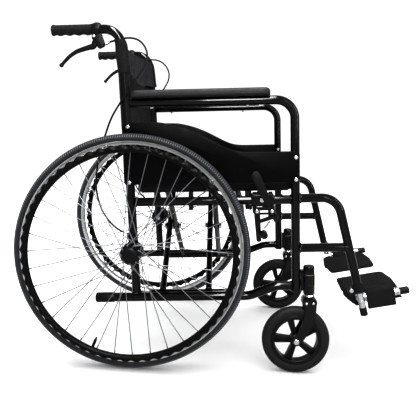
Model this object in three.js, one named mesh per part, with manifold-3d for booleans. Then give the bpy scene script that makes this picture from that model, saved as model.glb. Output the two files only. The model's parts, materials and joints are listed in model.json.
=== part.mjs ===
// A folding, self-propelled manual wheelchair with hub brakes, parking locks and flip-up footplates.
//
// The chair faces -Y, X runs across it and Z is up. Each half is drawn on the sitter's left (+X) and
// mirrored for the right. The frame is drawn in its own axes, forward and up from the rear axle, and is
// then leaned back as a whole by FRAME_TILT, because the small front wheels hold its front end high.
import * as THREE from 'three';
import { mergeVertices } from 'three/addons/utils/BufferGeometryUtils.js';
import Module from 'manifold-3d';

const wasm = await Module();
wasm.setup();

// Driving dimensions, in millimetres and degrees
const FRAME_TILT = 4.2;
const GAP = 0.3; // between pieces that touch
const HALF_WIDTH = 230; // side-frame tubes, from the middle of the chair
const TUBE = 11.6; // radius of the frame tubes
const WHEEL = { radius: 305, across: 268, sides: 40 };
const CASTER = { radius: 89, across: 235, axleForward: 421, stemForward: 457, sides: 24, spokes: 5 };
const POST = { bottomForward: 2, topForward: -14, topUp: 570, bendRadius: 45, gripEnd: -190 };
const UPRIGHT_FORWARD = 424;
const ARM_UP = 382;
const SEAT_TUBE_UP = 125;
const RAIL = { up: -130, frontUp: -104, riseFrom: 300, riseTo: 372, rearEnd: -108 };
const SEAT_RAIL = { across: 203, up: 160, from: 16, to: 412 };
const SADDLES_FORWARD = [152, 300];
const BRACE = { legRadius: 8.5, aLegs: [67, 192], bLegs: [87, 212], pinRadius: 4, lugs: [35, 240], lug: 6 };
const ARM_PAD = { from: 8, to: 361, top: 414, inner: 205, outer: 255 };
const GUARD = { rear: -18, front: 434, bottom: 172, frontTop: 251, rearTop: 332, thickness: 4 };
const GUARD_EDGE = [[40, 333], [76, 331.5], [105, 326], [140, 315.5], [178, 299.5], [214, 280.5],
  [245, 264.5], [268, 256], [292, 252], [325, 251]];
const SPOKES = { count: 36, lead: 57, end: 275.5, radius: 1.5 };
const HANDRIM = { radius: 268, thickness: 9.4, outboard: 29, tabs: 6 };
const HANGER = { up: 128, cornerForward: 532, slope: 12.8, endUp: -124, strutUp: -3, collar: 24 };
const FOOTREST = { radius: 9, clamped: 110, endUp: -186 };
const PLATE_ROD = { up: -144, across: 214, drop: 4, radius: 9, from: -10, to: 131 };
const PLATE = { inner: 178, notch: 30, low: -7, high: 3, wing: [17, 91], tabTo: 109, heelLow: -17 };
const LOCK = { across: 250, leverPivot: [362, 98], shoePivot: [323, 98], pin: [339, 42] };
const BRAKE_PIVOT = [-82, 548];

const radians = THREE.MathUtils.degToRad;
const tilt = radians(FRAME_TILT);
const casterAxleUp =
  (CASTER.radius - WHEEL.radius - CASTER.axleForward * Math.sin(tilt)) / Math.cos(tilt);
const lean = (POST.topForward - POST.bottomForward) / (POST.topUp - RAIL.up);
const postForward = (up) => POST.bottomForward + lean * (up - RAIL.up);
const hangerAlong = [Math.sin(radians(HANGER.slope)), -Math.cos(radians(HANGER.slope))];
const hangerForward = (up) =>
  HANGER.cornerForward + ((up - HANGER.up) * hangerAlong[0]) / hangerAlong[1];

const COLOURS = {
  frame: { color: 0x0b0b0c, roughness: 0.18, metalness: 0.4 },
  upholstery: { color: 0x2b2b2e, roughness: 0.75, metalness: 0 },
  padding: { color: 0x232427, roughness: 0.6, metalness: 0 },
  plastic: { color: 0x101012, roughness: 0.45, metalness: 0 },
  rubber: { color: 0x18181a, roughness: 0.8, metalness: 0 },
  tyre: { color: 0x2b2d31, roughness: 0.85, metalness: 0 },
  steel: { color: 0xc9cbce, roughness: 0.25, metalness: 1 },
  rim: { color: 0x8d9094, roughness: 0.4, metalness: 1 },
};

// Points, outlines and solids ------------------------------------------------------------------------

const at = (across, forward, up) => new THREE.Vector3(across, -forward, up);

// A tube's centre line through given stations, mitred at each.
class Route extends THREE.Curve {
  constructor(stations) {
    super();
    this.stations = stations;
  }

  getUtoTmapping(u) {
    return u;
  }

  getPoint(t, target = new THREE.Vector3()) {
    const last = this.stations.length - 1;
    const index = Math.min(Math.floor(t * last + 1e-9), last - 1);
    return target.lerpVectors(this.stations[index], this.stations[index + 1], t * last - index);
  }
}

// Replaces each inner corner of a bent line by an arc.
function filleted(corners, radius, arcSteps = 5) {
  const stations = [corners[0]];
  for (let i = 1; i < corners.length - 1; i++) {
    const back = corners[i - 1].clone().sub(corners[i]).normalize();
    const onward = corners[i + 1].clone().sub(corners[i]).normalize();
    const half = back.angleTo(onward) / 2;
    const reach = radius / Math.tan(half);
    const centre = back.clone().add(onward).normalize().multiplyScalar(radius / Math.sin(half));
    centre.add(corners[i]);
    const spoke = corners[i].clone().addScaledVector(back, reach).sub(centre);
    const turnAxis = onward.clone().cross(back).normalize();
    for (let step = 0; step <= arcSteps; step++) {
      const turn = (Math.PI - 2 * half) * (step / arcSteps);
      stations.push(spoke.clone().applyAxisAngle(turnAxis, turn).add(centre));
    }
  }
  stations.push(corners.at(-1));
  return stations;
}

function polygon(radius, sides) {
  const points = [];
  for (let i = 0; i < sides; i++) {
    const angle = (2 * Math.PI * i) / sides;
    points.push(new THREE.Vector2(radius * Math.cos(angle), radius * Math.sin(angle)));
  }
  return new THREE.Shape(points);
}

// An outline round two circles and the straight lines that touch both.
function strap(from, fromRadius, to, toRadius, steps = 6) {
  const heading = Math.atan2(to[1] - from[1], to[0] - from[0]);
  const distance = Math.hypot(to[0] - from[0], to[1] - from[1]);
  const side = Math.acos((fromRadius - toRadius) / distance);
  const points = [];
  for (let i = 0; i <= steps; i++) {
    const angle = heading + side + ((2 * Math.PI - 2 * side) * i) / steps;
    points.push([from[0] + fromRadius * Math.cos(angle), from[1] + fromRadius * Math.sin(angle)]);
  }
  for (let i = 0; i <= steps; i++) {
    const angle = heading - side + (2 * side * i) / steps;
    points.push([to[0] + toRadius * Math.cos(angle), to[1] + toRadius * Math.sin(angle)]);
  }
  return new THREE.Shape(points.map(([x, y]) => new THREE.Vector2(x, y)));
}

// An outline with rounded corners: each corner is [x, y, radius].
function rounded(corners, steps = 4) {
  const flat = corners.map(([x, y]) => new THREE.Vector3(x, y, 0));
  const points = [];
  corners.forEach(([x, y, radius], i) => {
    if (!radius) {
      points.push(new THREE.Vector2(x, y));
      return;
    }
    const before = flat.at(i - 1);
    const after = flat[(i + 1) % flat.length];
    const arc = filleted([before, flat[i], after], radius, steps).slice(1, -1);
    points.push(...arc.map((point) => new THREE.Vector2(point.x, point.y)));
  });
  return new THREE.Shape(points);
}

const box = (x0, y0, x1, y1) => rounded([[x0, y0], [x1, y0], [x1, y1], [x0, y1]]);

// One merged, closed mesh whose faces point out.
function closed(geometry) {
  geometry.deleteAttribute('normal');
  geometry.deleteAttribute('uv');
  const merged = mergeVertices(geometry, 1e-4);
  const place = merged.attributes.position;
  const index = merged.index.array;
  let volume = 0;
  for (let i = 0; i < index.length; i += 3) {
    const [a, b, c] = [0, 1, 2].map((k) => new THREE.Vector3().fromBufferAttribute(place, index[i + k]));
    volume += a.dot(b.cross(c));
  }
  if (volume < 0) {
    for (let i = 0; i < index.length; i += 3) {
      [index[i], index[i + 1]] = [index[i + 1], index[i]];
    }
  }
  return merged;
}

function toSolid(geometry) {
  return new wasm.Manifold(
    new wasm.Mesh({
      numProp: 3,
      vertProperties: new Float32Array(geometry.attributes.position.array),
      triVerts: new Uint32Array(geometry.index.array),
    }),
  );
}

function toGeometry(solid) {
  const mesh = solid.getMesh();
  const geometry = new THREE.BufferGeometry();
  geometry.setAttribute('position', new THREE.BufferAttribute(mesh.vertProperties, 3));
  geometry.setIndex(new THREE.BufferAttribute(mesh.triVerts, 1));
  return geometry;
}

const join = (...pieces) => toGeometry(pieces.map(toSolid).reduce((whole, piece) => whole.add(piece)));
const cut = (piece, ...tools) =>
  toGeometry(tools.map(toSolid).reduce((rest, tool) => rest.subtract(tool), toSolid(piece)));

function tube(stations, radius, sides = 10) {
  const options = { extrudePath: new Route(stations), steps: stations.length - 1, bevelEnabled: false };
  return closed(new THREE.ExtrudeGeometry(polygon(radius, sides), options));
}

const rod = (from, to, radius, sides = 10) => tube([from, to], radius, sides);

// A plate drawn in (forward, up), lying between two distances across the chair.
function plate(shape, inner, outer) {
  const solid = new THREE.ExtrudeGeometry(shape, { depth: outer - inner, bevelEnabled: false });
  const axes = new THREE.Matrix4().makeBasis(at(0, 1, 0), at(0, 0, 1), at(-1, 0, 0));
  return closed(solid.applyMatrix4(axes.setPosition(at(outer, 0, 0))));
}

// A plate drawn in (across, forward), lying between two heights.
function slab(shape, low, high) {
  const solid = new THREE.ExtrudeGeometry(shape, { depth: high - low, bevelEnabled: false });
  const axes = new THREE.Matrix4().makeBasis(at(1, 0, 0), at(0, 1, 0), at(0, 0, -1));
  return closed(solid.applyMatrix4(axes.setPosition(at(0, 0, high))));
}

// Turned bodies: each profile point is [radius, distance along the axis].
function turned(profile, sides) {
  return new THREE.LatheGeometry(profile.map(([r, along]) => new THREE.Vector2(r, along)), sides);
}

const turnedAcross = (profile, sides) => closed(turned(profile, sides).rotateZ(-Math.PI / 2));
const turnedUp = (profile, sides) => closed(turned(profile, sides).rotateX(Math.PI / 2));
const loop = (profile) => [...profile, profile[0]];

function mirrored(geometry) {
  return closed(geometry.clone().scale(-1, 1, 1));
}

// Side frame ------------------------------------------------------------------------------------------

function backPost() {
  const foot = RAIL.up + TUBE + GAP;
  const stations = filleted(
    [
      at(HALF_WIDTH, postForward(foot), foot),
      at(HALF_WIDTH, POST.topForward, POST.topUp),
      at(HALF_WIDTH, POST.gripEnd + 12, POST.topUp),
    ],
    POST.bendRadius,
  );
  const axleHole = rod(at(HALF_WIDTH - 20, 0, 0), at(HALF_WIDTH + 20, 0, 0), 6.4, 12);
  return cut(tube(stations, TUBE), axleHole);
}

function armTube() {
  const foot = RAIL.frontUp - TUBE - 4;
  const corners = [
    at(HALF_WIDTH, postForward(ARM_UP) + TUBE + GAP, ARM_UP),
    at(HALF_WIDTH, UPRIGHT_FORWARD, ARM_UP),
    at(HALF_WIDTH, UPRIGHT_FORWARD, foot),
  ];
  return tube(filleted(corners, 48, 6), TUBE);
}

function saddle(forward) {
  const top = SEAT_RAIL.up - TUBE - GAP;
  return plate(box(forward - 5.5, 101, forward + 5.5, top), SEAT_RAIL.across - 7, HALF_WIDTH);
}

function seatTube() {
  const rear = postForward(SEAT_TUBE_UP) + TUBE + GAP;
  const front = UPRIGHT_FORWARD - TUBE - GAP;
  const bar = rod(at(HALF_WIDTH, rear, SEAT_TUBE_UP), at(HALF_WIDTH, front, SEAT_TUBE_UP), TUBE);
  return join(bar, ...SADDLES_FORWARD.map(saddle));
}

function lowerRail() {
  const stations = filleted(
    [
      at(HALF_WIDTH, RAIL.rearEnd + 1, RAIL.up),
      at(HALF_WIDTH, RAIL.riseFrom, RAIL.up),
      at(HALF_WIDTH, RAIL.riseTo, RAIL.frontUp),
      at(HALF_WIDTH, UPRIGHT_FORWARD - TUBE - GAP, RAIL.frontUp),
    ],
    70,
    3,
  );
  const cap = rod(at(HALF_WIDTH, RAIL.rearEnd, RAIL.up), at(HALF_WIDTH, RAIL.rearEnd + 50, RAIL.up), 13);
  const lugs = BRACE.lugs.map((forward) =>
    slab(box(192, forward - BRACE.lug / 2, HALF_WIDTH, forward + BRACE.lug / 2), RAIL.up - 9, RAIL.up + 9),
  );
  return join(tube(stations, TUBE), cap, ...lugs);
}

function legrest() {
  const end = at(HALF_WIDTH, hangerForward(HANGER.endUp), HANGER.endUp);
  const collarTop = HANGER.endUp + HANGER.collar;
  const root = UPRIGHT_FORWARD + TUBE + GAP;
  const bar = tube(
    filleted([at(HALF_WIDTH, root, HANGER.up), at(HALF_WIDTH, HANGER.cornerForward, HANGER.up), end], 50),
    TUBE,
  );
  const strutEnd = at(HALF_WIDTH, hangerForward(HANGER.strutUp), HANGER.strutUp);
  const strut = rod(at(HALF_WIDTH, root, HANGER.strutUp), strutEnd, TUBE);
  const collar = rod(at(HALF_WIDTH, hangerForward(collarTop), collarTop), end, TUBE + 2);
  const boreTop = HANGER.endUp + FOOTREST.clamped + 8;
  const below = HANGER.endUp - 20;
  const bore = rod(
    at(HALF_WIDTH, hangerForward(boreTop), boreTop),
    at(HALF_WIDTH, hangerForward(below), below),
    FOOTREST.radius + 0.3,
  );
  return cut(join(bar, strut, collar), bore);
}

function casterHousing() {
  const [low, high] = [-124, -48];
  const shell = turnedUp([[0, high], [13, high], [15.5, high - 3], [15.5, low], [6, low], [6, high - 10],
    [0, high - 10]], 16);
  shell.translate(CASTER.across, -CASTER.stemForward, 0);
  const bracket = plate(
    box(UPRIGHT_FORWARD + TUBE + GAP, -116, CASTER.stemForward - 10, -62),
    CASTER.across - 14,
    CASTER.across + 4,
  );
  return join(shell, bracket);
}

function skirtGuard() {
  const { rear, front, bottom, frontTop, rearTop, thickness } = GUARD;
  const edge = new THREE.SplineCurve(GUARD_EDGE.map(([x, y]) => new THREE.Vector2(x, y)));
  const topEdge = edge.getPoints(18).reverse().map(({ x, y }) => [x, y, 0]);
  const outline = rounded([[rear, bottom, 8], [front, bottom, 8], [front, frontTop, 10], ...topEdge,
    [rear, rearTop, 8]]);
  const inner = HALF_WIDTH + TUBE + 2 * GAP;
  return plate(outline, inner, inner + thickness);
}

function armPad() {
  const { from, to, top, inner, outer } = ARM_PAD;
  const low = ARM_UP + TUBE + GAP;
  return plate(rounded([[from, low, 3], [to, low, 5], [to, top, 12], [from, top, 6]], 3), inner, outer);
}

function grip() {
  const [length, bore, outer] = [103, TUBE + 0.4, 13.8];
  const profile = [[0, length], [10, length], [outer, length - 3], [outer, 2], [bore, 0],
    [bore, length - 8], [0, length - 8]];
  const sleeve = closed(turned(profile, 12));
  return sleeve.translate(HALF_WIDTH, -(POST.gripEnd + length), POST.topUp);
}

function brakeClamp() {
  const [length, front] = [18, -66];
  const section = loop([[TUBE + 0.6, 0], [15.4, 0], [15.4, length], [TUBE + 0.6, length]]);
  const ring = closed(turned(section, 10)).translate(HALF_WIDTH, -front, POST.topUp);
  const cheekOutline = rounded([[-86, 557], [-66, 560], [-57, 534, 3], [-59, 527, 3], [-73, 521, 3],
    [-78, 536], [-88, 546, 4]], 2);
  const cheek = (inner) => plate(cheekOutline, inner, inner + 3);
  const nose = plate(strap([-66, 536], 5, [-62, 532], 5), 222, 238);
  return join(ring, cheek(222), cheek(235), nose);
}

function brakeLever() {
  const [forward, up] = BRAKE_PIVOT;
  const blade = plate(
    rounded([
      [forward + 5, up + 4, 4], [forward - 6, up + 4, 4], [-90, 534], [-103, 530], [-128, 520.5],
      [-148, 509.5], [-165, 495], [-174, 486], [-167, 479], [-151, 496.5], [-132, 510], [-108, 518],
      [-87, 520.5], [-75, 526, 4],
    ], 2),
    225.4,
    234.6,
  );
  const tip = closed(new THREE.SphereGeometry(5.6, 8, 6)).translate(HALF_WIDTH, 170.8, 482.4);
  return join(blade, tip);
}

// Hand-laid route of the cable: [across, forward, up] from the lever's adjuster to the hub brake.
const CABLE_ROUTE = [
  [230, -50, 535], [224, -42, 539.5], [215, -29, 544.5], [211, -12, 549], [214, 8, 549], [220, 28, 542],
  [227, 43, 527], [233, 51, 506], [238, 48, 482], [242, 34, 458], [244.6, 18, 436], [245, 1, 411],
  [245, -22, 380], [245, -44, 345], [244.6, -62, 301], [244, -80, 248], [244, -89, 200], [244, -91, 165],
  [244, -86, 132], [245, -77, 106], [246, -64, 84], [247, -48, 66], [248, -30, 53], [248.5, -13, 47.5],
];

function brakeCable() {
  const curve = new THREE.CatmullRomCurve3(CABLE_ROUTE.map((point) => at(...point)), false, 'centripetal');
  return tube(curve.getSpacedPoints(48), 2.5, 8);
}

function hubBrake() {
  const drum = turnedAcross(loop([[6.4, 242], [26, 242], [26, 250], [24, 254.4], [6.4, 254.4]]), 16);
  return join(drum, plate(strap([-6, 20], 5.5, [-13, 47.5], 4), 242, 245.5));
}

function rearAxle() {
  const nutFace = HALF_WIDTH - TUBE - GAP;
  return turnedAcross([[0, 213.5], [10, 213.5], [10, nutFace], [6, nutFace], [6, 298], [0, 298]], 12);
}

// Rear wheel, about its own axle -----------------------------------------------------------------------

function tyre() {
  const r = WHEEL.radius;
  const halfProfile = [[r - 17.7, 11], [r - 8, 15.5], [r, 6]];
  const profile = [...halfProfile, ...halfProfile.map(([radius, x]) => [radius, -x]).reverse()];
  return turnedAcross(loop(profile), WHEEL.sides);
}

function rim() {
  const profile = [[277, -8], [277, 8], [287, 11.5], [287, -11.5]];
  return turnedAcross(loop(profile), WHEEL.sides);
}

function spokedHub() {
  const offset = WHEEL.across;
  const profile = [[6.4, 255], [20, 255], [27, 256.5], [27, 260], [15, 262], [15, 284], [27, 286],
    [27, 289.5], [20, 291], [20, 297], [15, 301], [0, 302.5], [0, 299], [6.4, 299]];
  const hub = turnedAcross(loop(profile.map(([r, across]) => [r, across - offset])), 12);
  const flangeRadius = 24;
  const spokes = [];
  for (let i = 0; i < SPOKES.count; i++) {
    const rimAngle = radians((i * 360) / SPOKES.count + 2.5);
    const crossing = i % 4 < 2 ? SPOKES.lead : -SPOKES.lead;
    const hubAngle = rimAngle + radians(crossing);
    const side = crossing > 0 ? 1.6 : -1.6;
    const flange = (i % 2 === 0 ? 258.2 : 287.8) - offset + side;
    const inner = at(flange, flangeRadius * Math.cos(hubAngle), flangeRadius * Math.sin(hubAngle));
    const outer = at(0, SPOKES.end * Math.cos(rimAngle), SPOKES.end * Math.sin(rimAngle));
    spokes.push(rod(inner, outer, SPOKES.radius, 3));
  }
  return join(hub, ...spokes);
}

function handrim() {
  const { radius, thickness, outboard } = HANDRIM;
  const sides = 6;
  const section = [];
  for (let i = 0; i < sides; i++) {
    const angle = (2 * Math.PI * (i + 0.5)) / sides;
    section.push([radius + thickness * Math.cos(angle), outboard + thickness * Math.sin(angle)]);
  }
  const ring = turnedAcross(loop(section), WHEEL.sides);
  const tabs = [];
  for (let i = 0; i < HANDRIM.tabs; i++) {
    const angle = radians(45 + (360 * i) / HANDRIM.tabs);
    const [forward, up] = [(radius + 8) * Math.cos(angle), (radius + 8) * Math.sin(angle)];
    tabs.push(rod(at(11.8, forward, up), at(outboard, forward, up), 4.5, 6));
  }
  return join(ring, ...tabs);
}

// Front caster ------------------------------------------------------------------------------------------

function casterFork() {
  const [stem, axle] = [[CASTER.stemForward, -146], [CASTER.axleForward, casterAxleUp]];
  const leg = (inner) => cut(plate(strap(stem, 15, axle, 12), inner, inner + 4),
    rod(at(inner - 2, ...axle), at(inner + 6, ...axle), 4.4));
  const crown = plate(strap([stem[0] - 3, -145], 14, [stem[0] + 3, -145], 14), CASTER.across - 20,
    CASTER.across + 20);
  const pin = rod(at(CASTER.across, stem[0], -142), at(CASTER.across, stem[0], -60), 5.5);
  return join(leg(CASTER.across - 20), leg(CASTER.across + 16), crown, pin);
}

function casterWheel() {
  const rimRing = turnedAcross(loop([[56, -12], [66, -12], [66, 12], [56, 12]]), CASTER.sides);
  const hubProfile = [[4.4, -15.5], [12, -15.5], [16, -11], [16, 11], [12, 15.5], [4.4, 15.5]];
  const hub = turnedAcross(loop(hubProfile), 16);
  const spokes = [];
  for (let i = 0; i < CASTER.spokes; i++) {
    const angle = radians(36 + (360 * i) / CASTER.spokes);
    const [forward, up] = [Math.cos(angle), Math.sin(angle)];
    spokes.push(plate(strap([12 * forward, 12 * up], 8, [58 * forward, 58 * up], 7, 3), -8, 8));
  }
  return join(rimRing, hub, ...spokes);
}

function casterTyre() {
  const r = CASTER.radius;
  return turnedAcross(loop([[66.3, -12], [78, -14], [r, -6], [r, 6], [78, 14], [66.3, 12]]), CASTER.sides);
}

function casterAxle() {
  return turnedAcross([[0, -24.5], [7, -24.5], [7, -20.3], [4, -20.3], [4, 20.3], [7, 20.3], [7, 24.5],
    [0, 24.5]], 12);
}

// Footrest ---------------------------------------------------------------------------------------------

const rodStart = at(PLATE_ROD.across, hangerForward(PLATE_ROD.up), PLATE_ROD.up);
const rodSlope = radians(HANGER.slope - PLATE_ROD.drop);
const rodAlong = at(0, Math.cos(rodSlope), Math.sin(rodSlope));
const alongRod = (distance) => rodStart.clone().addScaledVector(rodAlong, distance);

function footrestTube() {
  const top = HANGER.endUp + FOOTREST.clamped;
  const bar = rod(
    at(HALF_WIDTH, hangerForward(top), top),
    at(HALF_WIDTH, hangerForward(FOOTREST.endUp), FOOTREST.endUp),
    FOOTREST.radius,
  );
  const pivot = rod(alongRod(PLATE_ROD.from), alongRod(PLATE_ROD.to), PLATE_ROD.radius);
  return join(bar, pivot);
}

// The footplate is drawn about its pivot rod: x across, y up from the rod, z along it. Its wing wraps over
// the rod and down outside it, and its heel runs back under the rod, behind the hanger's inner tube.
function footplate() {
  const plateUp = at(0, -Math.sin(rodSlope), Math.cos(rodSlope));
  const alongAxes = new THREE.Matrix4().makeBasis(at(1, 0, 0), plateUp, rodAlong);
  const flatAxes = new THREE.Matrix4().makeBasis(rodAlong, at(1, 0, 0), plateUp);
  const placed = (shape, axes, start, depth) =>
    closed(new THREE.ExtrudeGeometry(shape, { depth, bevelEnabled: false })
      .applyMatrix4(axes.clone().setPosition(start)));
  const along = (shape, from, to) => placed(shape, alongAxes, alongRod(from), to - from);
  const { inner, notch, low, high, wing, tabTo, heelLow } = PLATE;
  const treadOutline = rounded([[-24, -inner, 12], [112, -inner, 12], [119, -105, 40], [113, -notch],
    [-9, -notch, 4], [-30, -84, 30]], 3);
  const level = (height) => rodStart.clone().addScaledVector(plateUp, height);
  const tread = placed(treadOutline, flatAxes, level(low), high - low);
  const heelOutline = rounded([[-28, -88, 4], [-25, -52, 30], [-19, -12, 16], [-13, 12, 1], [-10.6, 12],
    [-10.6, 4], [11, 4], [11, -60]], 3);
  const heel = placed(heelOutline, flatAxes, level(heelLow), low + 1 - heelLow);
  const wrap = along(rounded([[-notch - 1, low], [-notch - 1, high], [-16, 17.5, 6], [14, 17.5, 6],
    [14, -30, 2], [7, -30, 2], [7, -13], [-14, -12, 3]], 2), ...wing);
  const tabOutline = rounded([[-notch - 1, low], [-notch - 1, 0], [-18, 0], [-11, -9.8], [12, -9.8],
    [12, -13], [-18, -13]], 2);
  const tab = along(tabOutline, wing[0], tabTo);
  const bore = along(polygon(PLATE_ROD.radius + 0.4, 12), PLATE_ROD.from - 1, PLATE_ROD.to);
  return cut(join(tread, heel, wrap, tab), bore);
}

// Parking lock -----------------------------------------------------------------------------------------

function lockBracket() {
  const [inner, outer] = [HALF_WIDTH + TUBE + 0.6, LOCK.across - 3.4];
  const blockOutline = rounded([[309, 143, 5], [368, 143, 5], [368, 110, 4], [309, 110, 4]], 2);
  const faceOutline = rounded([[312, 139, 5], [369, 139, 5], [369, 102, 4], [377, 86, 4], [377, 69, 3],
    [368, 69, 3], [364, 77], [333, 67, 2], [329, 76], [316, 90, 6]], 2);
  const slots = [[325, 111.5, 335, 111.5], [333, 97.3, 349, 97.3], [336, 86, 350, 86.5]];
  const slotTools = slots.map(([x0, y0, x1, y1]) =>
    plate(strap([x0, y0], 2.6, [x1, y1], 2.6, 3), inner + 1.1, outer + 1));
  const block = plate(blockOutline, HALF_WIDTH - 14, inner + 1);
  const bore = rod(at(HALF_WIDTH, 300, SEAT_TUBE_UP), at(HALF_WIDTH, 380, SEAT_TUBE_UP), TUBE + 0.4);
  const face = cut(plate(faceOutline, inner, outer), ...slotTools);
  return join(cut(block, bore), face);
}

function lockLever() {
  const shape = strap(LOCK.leverPivot, 8.5, [322, 190], 12);
  return plate(shape, LOCK.across - 3, LOCK.across + 2);
}

function lockShoe() {
  const arm = plate(strap(LOCK.shoePivot, 8, [327, 25], 6.5), LOCK.across - 3, LOCK.across + 1);
  const pin = rod(at(LOCK.across - 3, ...LOCK.pin), at(LOCK.across + 34, ...LOCK.pin), 9, 12);
  return join(arm, pin);
}

// Folding seat frame -----------------------------------------------------------------------------------

// A cross-brace: seat rail high on one side (+1 left, -1 right), pivot tube low on the other.
function crossBrace(side, legs) {
  const seat = SEAT_RAIL.across * side;
  const rail = rod(at(seat, SEAT_RAIL.from, SEAT_RAIL.up), at(seat, SEAT_RAIL.to, SEAT_RAIL.up), TUBE);
  const inset = BRACE.lug / 2 + 0.5;
  const [pivotFrom, pivotTo] = [BRACE.lugs[0] + inset, BRACE.lugs[1] - inset];
  const pivot = rod(at(-seat, pivotFrom, RAIL.up), at(-seat, pivotTo, RAIL.up), 10);
  const bars = legs.map((forward) =>
    rod(at(-seat, forward, RAIL.up), at(seat, forward, SEAT_RAIL.up), BRACE.legRadius));
  const middle = (RAIL.up + SEAT_RAIL.up) / 2;
  const hole = rod(at(0, 0, middle), at(0, 300, middle), BRACE.pinRadius + 0.3, 12);
  return cut(join(rail, pivot, ...bars), hole);
}

function bracePin(leg) {
  const middle = (RAIL.up + SEAT_RAIL.up) / 2;
  const [from, to] = [BRACE.aLegs[leg] - 15, BRACE.bLegs[leg] + 15];
  return rod(at(0, from, middle), at(0, to, middle), BRACE.pinRadius, 12);
}

// Upholstery, as plain solids --------------------------------------------------------------------------

function seatSling() {
  const half = SEAT_RAIL.across + TUBE;
  const low = SEAT_RAIL.up + TUBE + GAP;
  return slab(box(-half, SEAT_RAIL.from + 4, half, SEAT_RAIL.to - 4), low, low + 6);
}

function backPanel() {
  const half = HALF_WIDTH - TUBE - 2;
  const shape = new THREE.Shape([[-19, 190], [-11, 190], [-17, 524], [-25, 524]]
    .map(([forward, up]) => new THREE.Vector2(forward, up)));
  return plate(shape, -half, half);
}

// Assembly ---------------------------------------------------------------------------------------------

const HALF_PIECES = [
  ['back_post', backPost, 'frame'],
  ['arm_tube', armTube, 'frame'],
  ['seat_tube', seatTube, 'frame'],
  ['lower_rail', lowerRail, 'frame'],
  ['legrest', legrest, 'frame'],
  ['caster_housing', casterHousing, 'frame'],
  ['skirt_guard', skirtGuard, 'plastic'],
  ['arm_pad', armPad, 'padding'],
  ['grip', grip, 'rubber'],
  ['brake_clamp', brakeClamp, 'plastic'],
  ['brake_lever', brakeLever, 'plastic'],
  ['brake_cable', brakeCable, 'plastic'],
  ['hub_brake', hubBrake, 'frame'],
  ['rear_axle', rearAxle, 'steel'],
  ['caster_fork', casterFork, 'frame'],
  ['footrest_tube', footrestTube, 'steel'],
  ['footplate', footplate, 'plastic'],
  ['lock_bracket', lockBracket, 'frame'],
  ['lock_lever', lockLever, 'plastic'],
  ['lock_shoe', lockShoe, 'frame'],
];
const WHEEL_PIECES = [
  ['tyre', tyre, 'tyre'],
  ['rim', rim, 'rim'],
  ['spoked_hub', spokedHub, 'steel'],
  ['handrim', handrim, 'plastic'],
];
const CASTER_PIECES = [
  ['caster_wheel', casterWheel, 'plastic'],
  ['caster_tyre', casterTyre, 'tyre'],
  ['caster_axle', casterAxle, 'steel'],
];
const MIDDLE_PIECES = [
  ['cross_brace_a', () => crossBrace(1, BRACE.aLegs), 'frame'],
  ['cross_brace_b', () => crossBrace(-1, BRACE.bLegs), 'frame'],
  ['brace_pin_rear', () => bracePin(0), 'steel'],
  ['brace_pin_front', () => bracePin(1), 'steel'],
  ['seat_sling', seatSling, 'upholstery'],
  ['back_panel', backPanel, 'upholstery'],
];

function piece(name, geometry, colour) {
  const mesh = new THREE.Mesh(geometry, new THREE.MeshStandardMaterial(COLOURS[colour]));
  mesh.name = name;
  return mesh;
}

function pairOf([name, make, colour]) {
  const left = make();
  return [piece(`left_${name}`, left, colour), piece(`right_${name}`, mirrored(left), colour)];
}

// Wheels stand level in the leaning frame, so that they touch the floor at a corner of their outline.
function pairOfWheels(pieces, across, forward, up) {
  return [1, -1].map((side) => {
    const axle = new THREE.Group();
    axle.position.copy(at(side * across, forward, up));
    axle.rotation.x = tilt;
    for (const entry of pieces) {
      axle.add(pairOf(entry)[side > 0 ? 0 : 1]);
    }
    return axle;
  });
}

const chassis = new THREE.Group();
chassis.rotation.x = -tilt;
chassis.position.z = WHEEL.radius;
chassis.add(...HALF_PIECES.flatMap(pairOf));
chassis.add(...MIDDLE_PIECES.map(([name, make, colour]) => piece(name, make(), colour)));
chassis.add(...pairOfWheels(WHEEL_PIECES, WHEEL.across, 0, 0));
chassis.add(...pairOfWheels(CASTER_PIECES, CASTER.across, CASTER.axleForward, casterAxleUp));

const chair = new THREE.Group();
chair.add(chassis);
const extent = new THREE.Box3().setFromObject(chair, true);
chassis.position.y -= (extent.min.y + extent.max.y) / 2;

export default chair;
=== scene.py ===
"""The looks of a folding manual wheelchair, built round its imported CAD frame.

Lengths are in metres. Each half is drawn on the sitter's left (+X) and mirrored for the right. The side
frame leans back a little as a whole, so its pieces are drawn in its own axes: across, forward and up,
measured from the rear axle. The function at() turns those into the row frame.
"""

import json
from math import acos, atan2, copysign, cos, exp, pi, radians, sin, sqrt, tan

import bmesh
import bpy
from mathutils import Matrix, Vector, noise


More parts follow.
